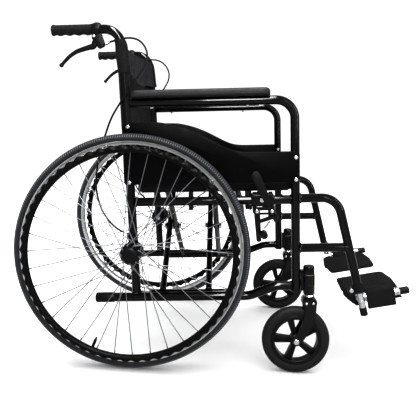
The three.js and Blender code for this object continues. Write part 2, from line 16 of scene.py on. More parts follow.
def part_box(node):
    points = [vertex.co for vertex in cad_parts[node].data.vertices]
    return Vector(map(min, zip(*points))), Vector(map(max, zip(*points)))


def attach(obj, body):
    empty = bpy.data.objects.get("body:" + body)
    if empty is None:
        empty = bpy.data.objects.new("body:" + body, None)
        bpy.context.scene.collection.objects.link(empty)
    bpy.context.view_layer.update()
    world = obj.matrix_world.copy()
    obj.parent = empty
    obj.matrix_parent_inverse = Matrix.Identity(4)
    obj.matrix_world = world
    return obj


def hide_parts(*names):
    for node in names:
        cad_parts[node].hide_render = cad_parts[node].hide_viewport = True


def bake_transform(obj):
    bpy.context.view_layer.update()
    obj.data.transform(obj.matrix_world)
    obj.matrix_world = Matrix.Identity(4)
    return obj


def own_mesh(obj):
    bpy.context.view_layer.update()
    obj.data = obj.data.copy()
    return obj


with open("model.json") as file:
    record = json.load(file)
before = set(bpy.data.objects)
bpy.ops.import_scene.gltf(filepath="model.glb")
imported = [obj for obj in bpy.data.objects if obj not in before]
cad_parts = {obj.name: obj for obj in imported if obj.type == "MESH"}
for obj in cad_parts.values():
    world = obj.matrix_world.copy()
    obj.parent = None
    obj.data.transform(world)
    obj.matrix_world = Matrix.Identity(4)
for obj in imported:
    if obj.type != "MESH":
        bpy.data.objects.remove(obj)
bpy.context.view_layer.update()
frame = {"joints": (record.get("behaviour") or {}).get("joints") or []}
JOINTS = {joint["name"]: joint for joint in frame["joints"]}

# Places and directions that the CAD frame gives ------------------------

AXLE = Vector(JOINTS["left_wheel_spin"]["pos_m"])
UP = Vector(JOINTS["left_caster_swivel"]["axis"])
FORWARD = Vector(JOINTS["fold"]["axis"])
ACROSS = Vector((1, 0, 0))
CASTER_AXLE = Vector(JOINTS["left_caster_spin"]["pos_m"])
FLIP_AXIS = -Vector(JOINTS["left_footplate_flip"]["axis"])
FLIP_PIVOT = Vector(JOINTS["left_footplate_flip"]["pos_m"])
SLIDE_AXIS = Vector(JOINTS["left_footrest_height"]["axis"])


def at(across, forward, up):
    """A point in the row frame, from distances in the leaning side frame."""
    return Vector((across, AXLE.y, AXLE.z)) + forward * FORWARD + up * UP


def middle(node, axis):
    """The middle of a CAD node's box along one row axis."""
    low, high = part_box(node)
    return (low[axis] + high[axis]) / 2


# Driving dimensions ----------------------------------------------------

GAP = 0.0003
SIDE = middle("left_arm_tube", 0)  # middle of the side-frame tubes, across
TUBE = 0.0116  # radius of the frame tubes
TYRE_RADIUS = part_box("left_tyre")[1][2] / 2
CASTER_RADIUS = CASTER_AXLE.z
CASTER_ACROSS = CASTER_AXLE.x
GUARD_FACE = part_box("left_skirt_guard")[1][0]
UPRIGHT_FORWARD = 0.424
SADDLES_FORWARD = (0.152, 0.3)
ARM_UP = 0.382
SEAT_TUBE_UP = 0.125
RAIL_UP, RAIL_FRONT_UP = -0.13, -0.104
STEM_FORWARD = 0.457
POST_FOOT, POST_TOP, POST_TOP_UP, GRIP_END = 0.002, -0.014, 0.57, -0.19
SEAT_RAIL_ACROSS, SEAT_RAIL_UP = 0.203, 0.16
HANGER_UP, HANGER_CORNER, HANGER_END_UP, STRUT_UP = 0.128, 0.532, -0.124, -0.003
BRACE_A_LEGS, BRACE_B_LEGS = (0.067, 0.192), (0.087, 0.212)
POST_BEND = 0.045  # radius of the bend into the push handle
SPOKES, HANDRIM_WAVES, HANDRIM_TABS, TREAD_PITCHES = 36, 60, 6, 320
SPOKE_RADIUS, SPOKE_LEAD, FIRST_SPOKE, SPOKE_BED = 0.00115, 57, 2.5, 0.277  # the angles are in degrees
CASTER_AXLE_FORWARD = (CASTER_AXLE - AXLE).dot(FORWARD)
CASTER_AXLE_UP = (CASTER_AXLE - AXLE).dot(UP)
LOCK_ACROSS = 0.25
LEVER_PIVOT, SHOE_PIVOT, LOCK_PIN = (0.362, 0.098), (0.323, 0.098), (0.339, 0.042)
FLAP_LOW, BACK_LOW, BACK_TOP = 0.459, 0.19, 0.5425
PANEL_END, FLAP_END = 0.01, 0.011  # from a back post's middle to the end of the cloth
CLOTH, CLOTH_LIFT = 0.0024, 0.0016  # thickness, and how far the seat's middle surface is off its rail


def post_forward(up):
    """The back post leans; this is how far forward its middle is at a height."""
    return POST_FOOT + (POST_TOP - POST_FOOT) * (up - RAIL_UP) / (POST_TOP_UP - RAIL_UP)


def hanger_forward(up):
    slope = SLIDE_AXIS.dot(FORWARD) / SLIDE_AXIS.dot(UP)
    return HANGER_CORNER + (up - HANGER_UP) * slope


# Materials -------------------------------------------------------------


class Finish:
    """A procedural material: a Principled shader, and the textures that vary it over the object."""

    def __init__(self, name, roughness, metallic=0.0, specular=0.3, sheen=0.0):
        self.material = bpy.data.materials.new(name)
        self.material.use_nodes = True
        self.tree = self.material.node_tree
        self.shader = self.tree.nodes["Principled BSDF"]
        settings = {
            "Roughness": roughness,
            "Metallic": metallic,
            "Specular IOR Level": specular,
            "Sheen Weight": sheen,
            "Sheen Roughness": 0.4,
        }
        for key, value in settings.items():
            self.shader.inputs[key].default_value = value
        self.place = self.tree.nodes.new("ShaderNodeTexCoord").outputs["Object"]
        self.height = None

    def link(self, output, node, socket):
        self.tree.links.new(output, node.inputs[socket])

    def noise(self, scale, detail=3.0):
        node = self.tree.nodes.new("ShaderNodeTexNoise")
        node.inputs["Scale"].default_value = scale
        node.inputs["Detail"].default_value = detail
        self.link(self.place, node, "Vector")
        return node.outputs["Fac"]

    def cells(self, scale):
        node = self.tree.nodes.new("ShaderNodeTexVoronoi")
        node.inputs["Scale"].default_value = scale
        self.link(self.place, node, "Vector")
        return node.outputs["Distance"]

    def bands(self, scale, direction):
        node = self.tree.nodes.new("ShaderNodeTexWave")
        node.bands_direction = direction
        node.inputs["Scale"].default_value = scale
        node.inputs["Distortion"].default_value = 0.4
        self.link(self.place, node, "Vector")
        return node.outputs["Fac"]

    def maths(self, operation, first, second):
        node = self.tree.nodes.new("ShaderNodeMath")
        node.operation = operation
        for index, value in enumerate((first, second)):
            if isinstance(value, (int, float)):
                node.inputs[index].default_value = value
            else:
                self.link(value, node, index)
        return node.outputs["Value"]

    def colour(self, factor, dark, light):
        """The base colour runs from dark to light with a 0 to 1 factor."""
        node = self.tree.nodes.new("ShaderNodeMix")
        node.data_type = "RGBA"
        self.link(factor, node, "Factor")
        node.inputs[6].default_value = (*dark, 1)
        node.inputs[7].default_value = (*light, 1)
        self.link(node.outputs[2], self.shader, "Base Color")
        return self

    def roughness(self, factor, low, high):
        """The roughness runs from low to high over the range that a noise mostly keeps to."""
        node = self.tree.nodes.new("ShaderNodeMapRange")
        settings = {"From Min": 0.3, "From Max": 0.7, "To Min": low, "To Max": high}
        for key, number in settings.items():
            node.inputs[key].default_value = number
        self.link(factor, node, "Value")
        self.link(node.outputs["Result"], self.shader, "Roughness")
        return self

    def bump(self, height, strength, depth):
        """Adds one layer of relief, depth metres deep."""
        node = self.tree.nodes.new("ShaderNodeBump")
        node.inputs["Strength"].default_value = strength
        node.inputs["Distance"].default_value = depth
        self.link(height, node, "Height")
        if self.height:
            self.link(self.height, node, "Normal")
        self.height = node.outputs["Normal"]
        self.link(self.height, self.shader, "Normal")
        return self


def gloss_paint():
    finish = Finish("gloss_black_paint", 0.1, specular=0.15)
    finish.colour(finish.noise(9.0), (0.0016, 0.0016, 0.0018), (0.0034, 0.0034, 0.0037))
    finish.roughness(finish.noise(60.0, 5.0), 0.06, 0.13)
    return finish.bump(finish.noise(420.0, 2.0), 0.05, 0.0004).material


def upholstery(name, dark, light):
    finish = Finish(name, 0.62, specular=0.04, sheen=0.02)
    weave = finish.maths("MULTIPLY", finish.bands(420.0, "X"), finish.bands(420.0, "Z"))
    mottle = finish.noise(38.0, 6.0)
    finish.colour(finish.maths("MULTIPLY", mottle, 1.2), dark, light)
    finish.roughness(finish.noise(55.0, 4.0), 0.55, 0.75)
    finish.bump(weave, 0.35, 0.0004)
    return finish.bump(finish.noise(85.0, 5.0), 0.22, 0.002).material


def pad_skin():
    finish = Finish("pad_skin", 0.55, specular=0.14)
    grain = finish.cells(900.0)
    finish.colour(finish.noise(30.0, 5.0), (0.014, 0.014, 0.0152), (0.025, 0.025, 0.0272))
    finish.roughness(finish.noise(80.0, 4.0), 0.42, 0.62)
    finish.bump(grain, 0.5, 0.0005)
    return finish.bump(finish.noise(25.0, 3.0), 0.1, 0.002).material


def satin_plastic():
    finish = Finish("satin_black_plastic", 0.42, specular=0.03)
    finish.colour(finish.noise(14.0, 4.0), (0.0016, 0.0016, 0.0018), (0.0036, 0.0036, 0.0039))
    finish.roughness(finish.noise(35.0, 5.0), 0.34, 0.52)
    return finish.bump(finish.noise(900.0, 2.0), 0.18, 0.0003).material


def moulded_plastic():
    finish = Finish("moulded_black_plastic", 0.4, specular=0.08)
    finish.colour(finish.noise(22.0, 4.0), (0.0045, 0.0045, 0.0049), (0.0082, 0.0082, 0.0089))
    finish.roughness(finish.noise(90.0, 4.0), 0.3, 0.46)
    return finish.bump(finish.cells(1100.0), 0.2, 0.0003).material


def tread_plastic():
    finish = Finish("matt_tread_plastic", 0.7, specular=0.01)
    finish.colour(finish.noise(24.0, 4.0), (0.012, 0.012, 0.0128), (0.02, 0.02, 0.0214))
    finish.roughness(finish.noise(90.0, 4.0), 0.6, 0.8)
    return finish.bump(finish.cells(1100.0), 0.2, 0.0003).material


def handrim_plastic():
    finish = Finish("handrim_plastic", 0.4, specular=0.04)
    finish.colour(finish.noise(26.0, 4.0), (0.003, 0.003, 0.0032), (0.0065, 0.0065, 0.007))
    finish.roughness(finish.noise(70.0, 5.0), 0.32, 0.5)
    return finish.bump(finish.noise(700.0, 3.0), 0.2, 0.0003).material


def grip_rubber():
    finish = Finish("grip_rubber", 0.7, specular=0.08)
    finish.colour(finish.noise(45.0, 5.0), (0.006, 0.006, 0.0066), (0.013, 0.013, 0.014))
    finish.roughness(finish.noise(60.0, 4.0), 0.55, 0.8)
    return finish.bump(finish.noise(600.0, 4.0), 0.35, 0.0005).material


def tyre_rubber(name, dark, light):
    finish = Finish(name, 0.8, specular=0.12)
    dust = finish.noise(28.0, 7.0)
    finish.colour(dust, dark, light)
    finish.roughness(finish.noise(120.0, 4.0), 0.66, 0.9)
    return finish.bump(finish.noise(500.0, 5.0), 0.4, 0.0005).material


def caster_rubber():
    finish = Finish("caster_tyre", 0.6, specular=0.12)
    finish.colour(finish.noise(32.0, 6.0), (0.006, 0.006, 0.0066), (0.015, 0.015, 0.016))
    finish.roughness(finish.noise(90.0, 4.0), 0.5, 0.72)
    return finish.bump(finish.noise(450.0, 5.0), 0.3, 0.0004).material


def satin_rim():
    finish = Finish("satin_grey_rim", 0.36, metallic=0.85, specular=0.5)
    finish.colour(finish.noise(18.0, 5.0), (0.27, 0.275, 0.272), (0.42, 0.425, 0.42))
    finish.roughness(finish.noise(150.0, 5.0), 0.3, 0.46)
    return finish.bump(finish.noise(800.0, 2.0), 0.1, 0.0002).material


def bright_steel():
    finish = Finish("bright_zinc_steel", 0.24, metallic=1.0, specular=0.5)
    finish.colour(finish.noise(60.0, 5.0), (0.24, 0.245, 0.255), (0.42, 0.425, 0.43))
    finish.roughness(finish.noise(240.0, 4.0), 0.18, 0.36)
    return finish.bump(finish.noise(900.0, 2.0), 0.1, 0.0002).material


def spoke_wire():
    finish = Finish("spoke_wire", 0.3, metallic=1.0, specular=0.5)
    finish.colour(finish.noise(40.0, 3.0), (0.085, 0.088, 0.095), (0.165, 0.17, 0.18))
    return finish.roughness(finish.noise(200.0, 3.0), 0.42, 0.6).material


def brass():
    finish = Finish("brass", 0.3, metallic=1.0, specular=0.5)
    finish.colour(finish.noise(90.0, 4.0), (0.2, 0.13, 0.05), (0.34, 0.24, 0.11))
    return finish.roughness(finish.noise(200.0, 3.0), 0.22, 0.42).material


def grey_steel():
    finish = Finish("dull_grey_steel", 0.42, metallic=0.9, specular=0.5)
    finish.colour(finish.noise(50.0, 5.0), (0.12, 0.13, 0.135), (0.24, 0.25, 0.26))
    finish.roughness(finish.noise(200.0, 4.0), 0.34, 0.55)
    return finish.bump(finish.noise(500.0, 3.0), 0.15, 0.0003).material


PAINT = gloss_paint()
FABRIC = upholstery("charcoal_upholstery", (0.0165, 0.0165, 0.0186), (0.036, 0.036, 0.0405))
# A darker copy of the upholstery. On the upper sleeves, the ends of the charcoal band, it is painted shade
# round the back posts; on the seat it is partly painted shade under the skirt guard.
DARK_CLOTH_AND_SHADE = upholstery("black_upholstery_and_shade", (0.007, 0.007, 0.0078), (0.017, 0.017, 0.0185))
PAD = pad_skin()
SATIN = satin_plastic()
PLASTIC = moulded_plastic()
TREAD_PLASTIC = tread_plastic()
HANDRIM = handrim_plastic()
GRIP = grip_rubber()
TYRE = tyre_rubber("tyre_rubber", (0.017, 0.0178, 0.0204), (0.046, 0.0475, 0.053))
# A lighter copy of the tyre rubber for the faces of the tread blocks: a painted highlight where light
# catches the blocks.
TREAD_HIGHLIGHT = tyre_rubber("tread_block_highlight", (0.105, 0.109, 0.121), (0.27, 0.277, 0.3))
CASTER_TYRE = caster_rubber()
RIM = satin_rim()
STEEL = bright_steel()
WIRE = spoke_wire()
BRASS = brass()
LINK = grey_steel()

# Lines and outlines ----------------------------------------------------


def turns(count):
    """Angles spaced evenly round a circle."""
    return [2 * pi * step / count for step in range(count)]


def mirrored(half):
    """A closed profile of (radius, across), from its half with the points in order."""
    return [*half, *((radius, -across) for radius, across in reversed(half))]


def filleted(corners, radius, steps=14):
    """The stations of a bent line, with each inner corner replaced by an arc."""
    stations = [corners[0]]
    for before, corner, after in zip(corners, corners[1:], corners[2:]):
        back, onward = (before - corner).normalized(), (after - corner).normalized()
        half = back.angle(onward) / 2
        centre = corner + (back + onward).normalized() * radius / sin(half)
        spoke = corner + back * radius / tan(half) - centre
        axis = onward.cross(back)
        for step in range(steps + 1):
            turn = Matrix.Rotation((pi - 2 * half) * step / steps, 3, axis)
            stations.append(centre + turn @ spoke)
    return [*stations, corners[-1]]


def rounded(corners, steps=5):
    """A closed 2D outline from [x, y, radius] corners."""
    points = []
    for i, (x, y, radius) in enumerate(corners):
        if not radius:
            points.append((x, y))
            continue
        before, after = corners[i - 1], corners[(i + 1) % len(corners)]
        line = [Vector((before[0], before[1], 0)), Vector((x, y, 0)), Vector((after[0], after[1], 0))]
        points.extend((p.x, p.y) for p in filleted(line, radius, steps)[1:-1])
    return points


def rectangle(low_x, low_y, high_x, high_y, radius):
    corners = ((low_x, low_y), (high_x, low_y), (high_x, high_y), (low_x, high_y))
    return rounded([(x, y, radius) for x, y in corners])


def smooth_line(points, steps=8):
    """A centripetal Catmull-Rom curve through points."""
    ends = [2 * points[0] - points[1], *points, 2 * points[-1] - points[-2]]
    line = []
    for p0, p1, p2, p3 in zip(ends, ends[1:], ends[2:], ends[3:]):
        t1 = (p1 - p0).length ** 0.5
        t2 = t1 + (p2 - p1).length ** 0.5
        t3 = t2 + (p3 - p2).length ** 0.5
        for step in range(steps):
            t = t1 + (t2 - t1) * step / steps
            a1 = p0.lerp(p1, t / t1)
            a2 = p1.lerp(p2, (t - t1) / (t2 - t1))
            a3 = p2.lerp(p3, (t - t2) / (t3 - t2))
            b1, b2 = a1.lerp(a2, t / t2), a2.lerp(a3, (t - t1) / (t3 - t1))
            line.append(b1.lerp(b2, (t - t1) / (t2 - t1)))
    return [*line, points[-1]]


def strap(start, start_radius, end, end_radius, steps=12):
    """An outline round two circles and the lines that touch both."""
    start, end = Vector(start), Vector(end)
    heading = atan2(end.y - start.y, end.x - start.x)
    side = acos((start_radius - end_radius) / (end - start).length)
    arcs = ((start, start_radius, side, 2 * pi - 2 * side), (end, end_radius, -side, 2 * side))
    points = []
    for centre, radius, begin, sweep in arcs:
        for step in range(steps + 1):
            angle = heading + begin + sweep * step / steps
            points.append((centre.x + radius * cos(angle), centre.y + radius * sin(angle)))
    return points


def offset(outline, inset):
    """The outline moved inwards by inset. It runs anticlockwise."""
    moved = []
    for i, point in enumerate(outline):
        here = Vector(point)
        before = (here - Vector(outline[i - 1])).normalized()
        after = (Vector(outline[(i + 1) % len(outline)]) - here).normalized()
        bisector = Vector((-before.y - after.y, before.x + after.x)).normalized()
        lean = max(bisector.dot(Vector((-before.y, before.x))), 0.5)
        moved.append(tuple(here + bisector * inset / lean))
    return moved


def anticlockwise(outline):
    area = sum(a[0] * b[1] - b[0] * a[1] for a, b in zip(outline, outline[1:] + outline[:1]))
    return outline if area > 0 else outline[::-1]


# Solids ----------------------------------------------------------------

SHARP_ANGLE = radians(34)


class Shape:
    """A mesh in the making: closed parts, each with the number of one of the piece's materials."""

    def __init__(self):
        self.points, self.faces, self.paints = [], [], []

    def add(self, points, faces, paint=0):
        first = len(self.points)
        self.points.extend(Vector(p) for p in points)
        self.faces.extend([first + i for i in face] for face in faces)
        self.paints.extend([paint] * len(faces))
        return self

    def rings(self, rings, paint=0, loop=False):
        """Skins a row of rings of points. An end ring is closed by a face, unless the row is a loop."""
        size, count = len(rings[0]), len(rings)
        faces = []
        for i in range(count if loop else count - 1):
            a, b = i * size, (i + 1) % count * size
            faces.extend([a + j, a + (j + 1) % size, b + (j + 1) % size, b + j] for j in range(size))
        if not loop:
            faces.append(list(range(size))[::-1])
            faces.append([(count - 1) * size + j for j in range(size)])
        return self.add([p for ring in rings for p in ring], faces, paint)

    def tube(self, line, radius, paint=0, sides=22, bevel=0.0):
        """A round bar along a line. The radius is one number, or one for each point of the line."""
        line = [Vector(p) for p in line]
        radii = list(radius) if isinstance(radius, (list, tuple)) else [radius] * len(line)
        if bevel:
            start, end = (line[1] - line[0]).normalized(), (line[-2] - line[-1]).normalized()
            line = [line[0], line[0] + start * bevel, *line[1:-1], line[-1] + end * bevel, line[-1]]
            radii = [radii[0] - bevel, radii[0], *radii[1:-1], radii[-1], radii[-1] - bevel]
        normal = (line[1] - line[0]).orthogonal().normalized()
        rings = []
        for i, (centre, r) in enumerate(zip(line, radii)):
            tangent = (line[min(i + 1, len(line) - 1)] - line[max(i - 1, 0)]).normalized()
            normal = (normal - tangent * normal.dot(tangent)).normalized()
            other = tangent.cross(normal)
            rings.append([centre + (normal * cos(a) + other * sin(a)) * r for a in turns(sides)])
        return self.rings(rings, paint)

    def rod(self, start, end, radius, paint=0, sides=22, bevel=0.0):
        return self.tube([start, end], radius, paint, sides, bevel)

    def extrude(self, outline, place, low, high, paint=0, bevel=0.0008):
        """A plate between two depths, with rounded edges. place turns (x, y, depth) into the row frame."""
        outline = anticlockwise(list(outline))
        half = bevel * (1 - sqrt(0.5))
        steps = [(bevel, low), (half, low + half), (0, low + bevel)]
        steps += [(0, high - bevel), (half, high - half), (bevel, high)]
        rings = [[place(x, y, depth) for x, y in offset(outline, inset)] for inset, depth in steps]
        return self.rings(rings, paint)

    def plate(self, outline, inner, outer, paint=0, bevel=0.0008):
        """A plate drawn in (forward, up), between two distances across the chair."""
        return self.extrude(outline, lambda x, y, depth: at(depth, x, y), inner, outer, paint, bevel)

    def lathe(self, profile, origin, axis, paint=0, sides=24, loop=False):
        """Turns a profile of (radius, along) about an axis. A loop profile makes a ring."""
        axis = Vector(axis).normalized()
        side = axis.orthogonal().normalized()
        other = axis.cross(side)
        origin = Vector(origin)
        rows = []
        for radius, along in profile:
            centre, spread = origin + axis * along, max(radius, 1e-5)
            rows.append([centre + (side * cos(a) + other * sin(a)) * spread for a in turns(sides)])
        return self.rings(rows, paint, loop)

    def screw(self, centre, axis, radius, paint=0, height=None):
        """A domed screw head with a round socket, standing on a face."""
        height = height or radius * 0.55
        profile = [
            (radius, -0.0006), (radius, height * 0.25), (radius * 0.93, height * 0.6),
            (radius * 0.72, height * 0.9),
            (radius * 0.45, height), (radius * 0.4, height * 0.92), (radius * 0.36, height * 0.45),
            (0, height * 0.4),
        ]
        return self.lathe(profile, centre, axis, paint, 18)

    def nut(self, centre, axis, radius, height, paint=0):
        """A hexagon head or nut with a chamfered top."""
        axis = Vector(axis)
        profile = [(radius, -0.0004), (radius, height * 0.75), (radius * 0.86, height), (0, height)]
        return self.lathe(profile, centre, axis, paint, 6)

    def bead(self, centre, axis, radius, paint=0, thickness=0.0016):
        """The weld bead round a tube's end, slightly uneven."""
        axis = Vector(axis).normalized()
        side = axis.orthogonal().normalized()
        other = axis.cross(side)
        rings = []
        for angle in turns(48):
            out = side * cos(angle) + other * sin(angle)
            swell = thickness * (1 + 0.18 * sin(angle * 17))
            rings.append([centre + out * (radius + swell * cos(a)) + axis * swell * sin(a)
                          for a in turns(8)])
        return self.rings(rings, paint, loop=True)


def make_object(name, shape, materials, mirror=False):
    """The shape as a Blender object, smooth except at sharp edges."""
    points = [Vector((-p.x, p.y, p.z)) for p in shape.points] if mirror else shape.points
    mesh = bpy.data.meshes.new(name)
    mesh.from_pydata(points, [], shape.faces)
    mesh.polygons.foreach_set("material_index", shape.paints)
    working = bmesh.new()
    working.from_mesh(mesh)
    bmesh.ops.remove_doubles(working, verts=working.verts, dist=1e-6)
    bmesh.ops.recalc_face_normals(working, faces=working.faces)
    working.to_mesh(mesh)
    working.free()
    mesh.polygons.foreach_set("use_smooth", [True] * len(mesh.polygons))
    mesh.set_sharp_from_angle(angle=SHARP_ANGLE)
    for material in materials:
        mesh.materials.append(material)
    thing = bpy.data.objects.new(name, mesh)
    bpy.context.scene.collection.objects.link(thing)
    return thing


def add_piece(name, shape, materials, body, nodes, mirror=False):
    thing = make_object(name, shape, materials, mirror)
    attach(thing, body)
    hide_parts(*nodes)
    return thing


# Side frame ------------------------------------------------------------


def back_post():
    foot = RAIL_UP + TUBE + GAP
    corners = [
        at(SIDE, post_forward(foot), foot), at(SIDE, POST_TOP, POST_TOP_UP),
        at(SIDE, GRIP_END + 0.012, POST_TOP_UP),
    ]
    shape = Shape().tube(filleted(corners, POST_BEND, 20), TUBE, sides=28)
    shape.bead(at(SIDE, post_forward(foot), foot + 0.001), UP, TUBE)
    shape.lathe([(0.0065, -0.018), (0.0135, -0.018), (0.0135, 0.0115), (0.0065, 0.0115)], at(SIDE, 0, 0),
                ACROSS,
                loop=True)
    return shape


def arm_tube():
    corners = [
        at(SIDE, post_forward(ARM_UP) + TUBE + GAP, ARM_UP), at(SIDE, UPRIGHT_FORWARD, ARM_UP),
        at(SIDE, UPRIGHT_FORWARD, RAIL_FRONT_UP - TUBE - 0.004),
    ]
    shape = Shape().tube(filleted(corners, 0.048, 20), TUBE, sides=28, bevel=0.001)
    shape.bead(corners[0] + FORWARD * 0.001, FORWARD, TUBE)
    for forward in (0.058, 0.305):
        shape.nut(at(SIDE, forward, ARM_UP - TUBE), -UP, 0.0045, 0.004, 1)
    return shape


def seat_tube():
    rear, front = post_forward(SEAT_TUBE_UP) + TUBE + GAP, UPRIGHT_FORWARD - TUBE - GAP
    shape = Shape().rod(at(SIDE, rear, SEAT_TUBE_UP), at(SIDE, front, SEAT_TUBE_UP), TUBE)
    shape.bead(at(SIDE, rear + 0.001, SEAT_TUBE_UP), FORWARD, TUBE)
    shape.bead(at(SIDE, front - 0.001, SEAT_TUBE_UP), FORWARD, TUBE)
    for forward in SADDLES_FORWARD:
        saddle = rectangle(forward - 0.0055, 0.101, forward + 0.0055, 0.148, 0.002)
        shape.plate(saddle, SEAT_RAIL_ACROSS - 0.007, SIDE, 1, 0.0012)
    return shape


def lower_rail():
    corners = [
        at(SIDE, -0.104, RAIL_UP), at(SIDE, 0.3, RAIL_UP), at(SIDE, 0.372, RAIL_FRONT_UP),
        at(SIDE, UPRIGHT_FORWARD - TUBE - GAP, RAIL_FRONT_UP),
    ]
    shape = Shape().tube(filleted(corners, 0.07, 10), TUBE, sides=28)
    shape.bead(corners[-1] - FORWARD * 0.001, FORWARD, TUBE)
    cap = [(0.007, -0.108), (0.0115, -0.1065), (0.013, -0.103), (0.013, -0.062), (0.0122, -0.0575),
           (0.0105, -0.0575)]
    shape.lathe(cap, at(SIDE, 0, RAIL_UP), FORWARD, 1, 28)
    for forward, way in ((0.035, -1), (0.24, 1)):
        rear, front, inner = forward - 0.003, forward + 0.003, 0.192
        lug = [(inner, rear), (SIDE, rear), (SIDE, front), (inner, front)]
        shape.extrude(lug, at, RAIL_UP - 0.009, RAIL_UP + 0.009, bevel=0.001)
        face = at(SEAT_RAIL_ACROSS - 0.002, forward + 0.003 * way, RAIL_UP)
        shape.nut(face, FORWARD * way, 0.0055, 0.0045, 2)
    return shape


def legrest():
    end = at(SIDE, hanger_forward(HANGER_END_UP), HANGER_END_UP)
    root = UPRIGHT_FORWARD + TUBE + GAP
    bend = filleted([at(SIDE, root, HANGER_UP), at(SIDE, HANGER_CORNER, HANGER_UP), end], 0.05, 20)
    shape = Shape().tube(bend, TUBE, sides=28)
    strut_end = at(SIDE, hanger_forward(STRUT_UP), STRUT_UP)
    shape.rod(at(SIDE, root, STRUT_UP), strut_end, TUBE)
    for point in (at(SIDE, root + 0.001, HANGER_UP), at(SIDE, root + 0.001, STRUT_UP)):
        shape.bead(point, FORWARD, TUBE)
    shape.bead(strut_end - FORWARD * (TUBE + 0.001), FORWARD, TUBE)
    collar = [(TUBE, -0.024), (TUBE + 0.0022, -0.0232), (TUBE + 0.0022, -0.0008), (TUBE + 0.001, 0.0),
              (0.0093, 0.0),
              (0.0093, -0.024)]
    shape.lathe(collar, end, SLIDE_AXIS, 1, 28, loop=True)
    middle_of_collar = end - SLIDE_AXIS * 0.011
    rear = -(FORWARD - SLIDE_AXIS * FORWARD.dot(SLIDE_AXIS)).normalized()
    boss = middle_of_collar + rear * 0.0195
    shape.rod(middle_of_collar, boss, 0.006, 1, 18, 0.0008)
    shape.rod(boss - ACROSS * 0.006, boss + ACROSS * 0.006, 0.0084, 1, 28, 0.0012)
    for face in (-ACROSS, ACROSS):
        shape.lathe([(0, 0), (0.0058, 0), (0.0062, 0.001), (0.0052, 0.0026), (0.0026, 0.0036),
                     (0, 0.0038)],
                    boss + face * 0.006, face, 2, 24)
    return shape


def caster_housing():
    base = at(CASTER_ACROSS, STEM_FORWARD, 0)
    profile = [
        (0, -0.048), (0.009, -0.0482), (0.0132, -0.0495), (0.0148, -0.0525), (0.015, -0.0712),
        (0.014, -0.0716),
        (0.014, -0.0724), (0.0155, -0.0728), (0.0155, -0.1225), (0.0145, -0.124), (0.006, -0.124),
        (0.006, -0.06),
        (0, -0.059),
    ]
    shape = Shape().lathe(profile, base, UP, sides=36)
    shape.lathe([(0.0132, -0.0727), (0.0147, -0.0727), (0.0147, -0.0713), (0.0132, -0.0713)], base, UP,
                1, 36, loop=True)
    low, high = -0.116, -0.062
    outline = [(UPRIGHT_FORWARD + TUBE + GAP, low), (STEM_FORWARD - 0.01, low),
               (STEM_FORWARD - 0.01, high),
               (UPRIGHT_FORWARD + TUBE + GAP, high)]
    shape.plate(outline, CASTER_ACROSS - 0.014, CASTER_ACROSS + 0.004, bevel=0.0015)
    shape.bead(at(CASTER_ACROSS, STEM_FORWARD, -0.0985), UP, 0.0152, thickness=0.0005)
    return shape


# The guard's top edge: it drops in a long curve from the back post to the arm's upright.
GUARD_EDGE = [
    (0.04, 0.333), (0.076, 0.3315), (0.105, 0.326), (0.14, 0.3155), (0.178, 0.2995), (0.214, 0.2805),
    (0.245, 0.2645), (0.268, 0.256), (0.292, 0.252), (0.325, 0.251),
]


def guard_outline():
    rear, front, low = -0.018, 0.434, 0.172
    edge = smooth_line([Vector(point) for point in GUARD_EDGE], 4)
    return rounded([(rear, low, 0.008), (front, low, 0.008), (front, 0.251, 0.01),
                    *((p.x, p.y, 0) for p in reversed(edge)), (rear, 0.332, 0.008)], 12)


def skirt_guard():
    inner = SIDE + TUBE + 2 * GAP
    shape = Shape().plate(guard_outline(), inner, GUARD_FACE, bevel=0.0019)
    for forward, up in ((-0.003, 0.321), (-0.004, 0.178), (0.424, 0.235), (0.424, 0.178)):
        shape.screw(at(GUARD_FACE, forward, up), ACROSS, 0.0055, 1, 0.0026)
        shape.nut(at(SIDE - TUBE, forward, up), -ACROSS, 0.005, 0.004, 1)
    return shape


def arm_pad():
    """A long pad: a soft rounded section swept along the arm, rounded off at both ends."""
    rear, front, low, top = 0.008, 0.361, ARM_UP + TUBE + GAP, 0.414
    inner, outer = (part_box("left_arm_pad")[i][0] for i in (0, 1))
    half_width, centre = (outer - inner) / 2, (outer + inner) / 2
    stations = 46
    rings = []
    for i in range(stations):
        t = i / (stations - 1)
        forward = rear + (front - rear) * (0.5 - 0.5 * cos(pi * t))
        edge = min(forward - rear, front - forward)
        narrow = sqrt(max(0.0, 1 - (1 - min(edge / 0.016, 1)) ** 2))
        shrink = 0.62 + 0.38 * narrow
        drop = 0.0085 * (1 - sqrt(max(0.0, 1 - (1 - min(edge / 0.013, 1)) ** 2)))
        crown = top - drop
        ring = []
        for angle in turns(40):
            x, y = cos(angle), sin(angle)
            x = copysign(abs(x) ** 0.42, x)
            y = copysign(abs(y) ** 0.5, y)
            up = (low + crown) / 2 + y * (crown - low) / 2
            ring.append(at(centre + x * half_width * shrink, forward, up))
        rings.append(ring)
    shape = Shape().rings(rings)
    seam = [ring[0] + ACROSS * 0.0002 - UP * 0.004 for ring in rings[2:-2]]
    return shape.tube(seam, 0.0006, sides=6)


def grip():
    """A hand grip with a flange at each end, fine rings and four finger rests under it."""
    length, sides, stations = 0.103, 48, 150
    rings = []
    for i in range(stations):
        t = i / (stations - 1)
        along = length * t
        radius = 0.0131 + 0.0002 * cos(2 * pi * along / 0.0034)
        for flange in (0.001, length - 0.004):
            radius += 0.0011 * exp(-(((along - flange) / 0.0035) ** 2))
        if t > 0.985:
            radius *= 0.93
        if t < 0.01:
            radius *= 0.95
        ring = []
        for angle in turns(sides):
            under = max(0.0, -sin(angle)) ** 1.5
            swell = 0.0013 * under * cos(2 * pi * (along - 0.012) / 0.0235)
            r = min(radius + swell, 0.0146)
            across, up = SIDE + r * cos(angle), POST_TOP_UP + r * sin(angle)
            ring.append(at(across, GRIP_END + length - along, up))
        rings.append(ring)
    return Shape().rings(rings)


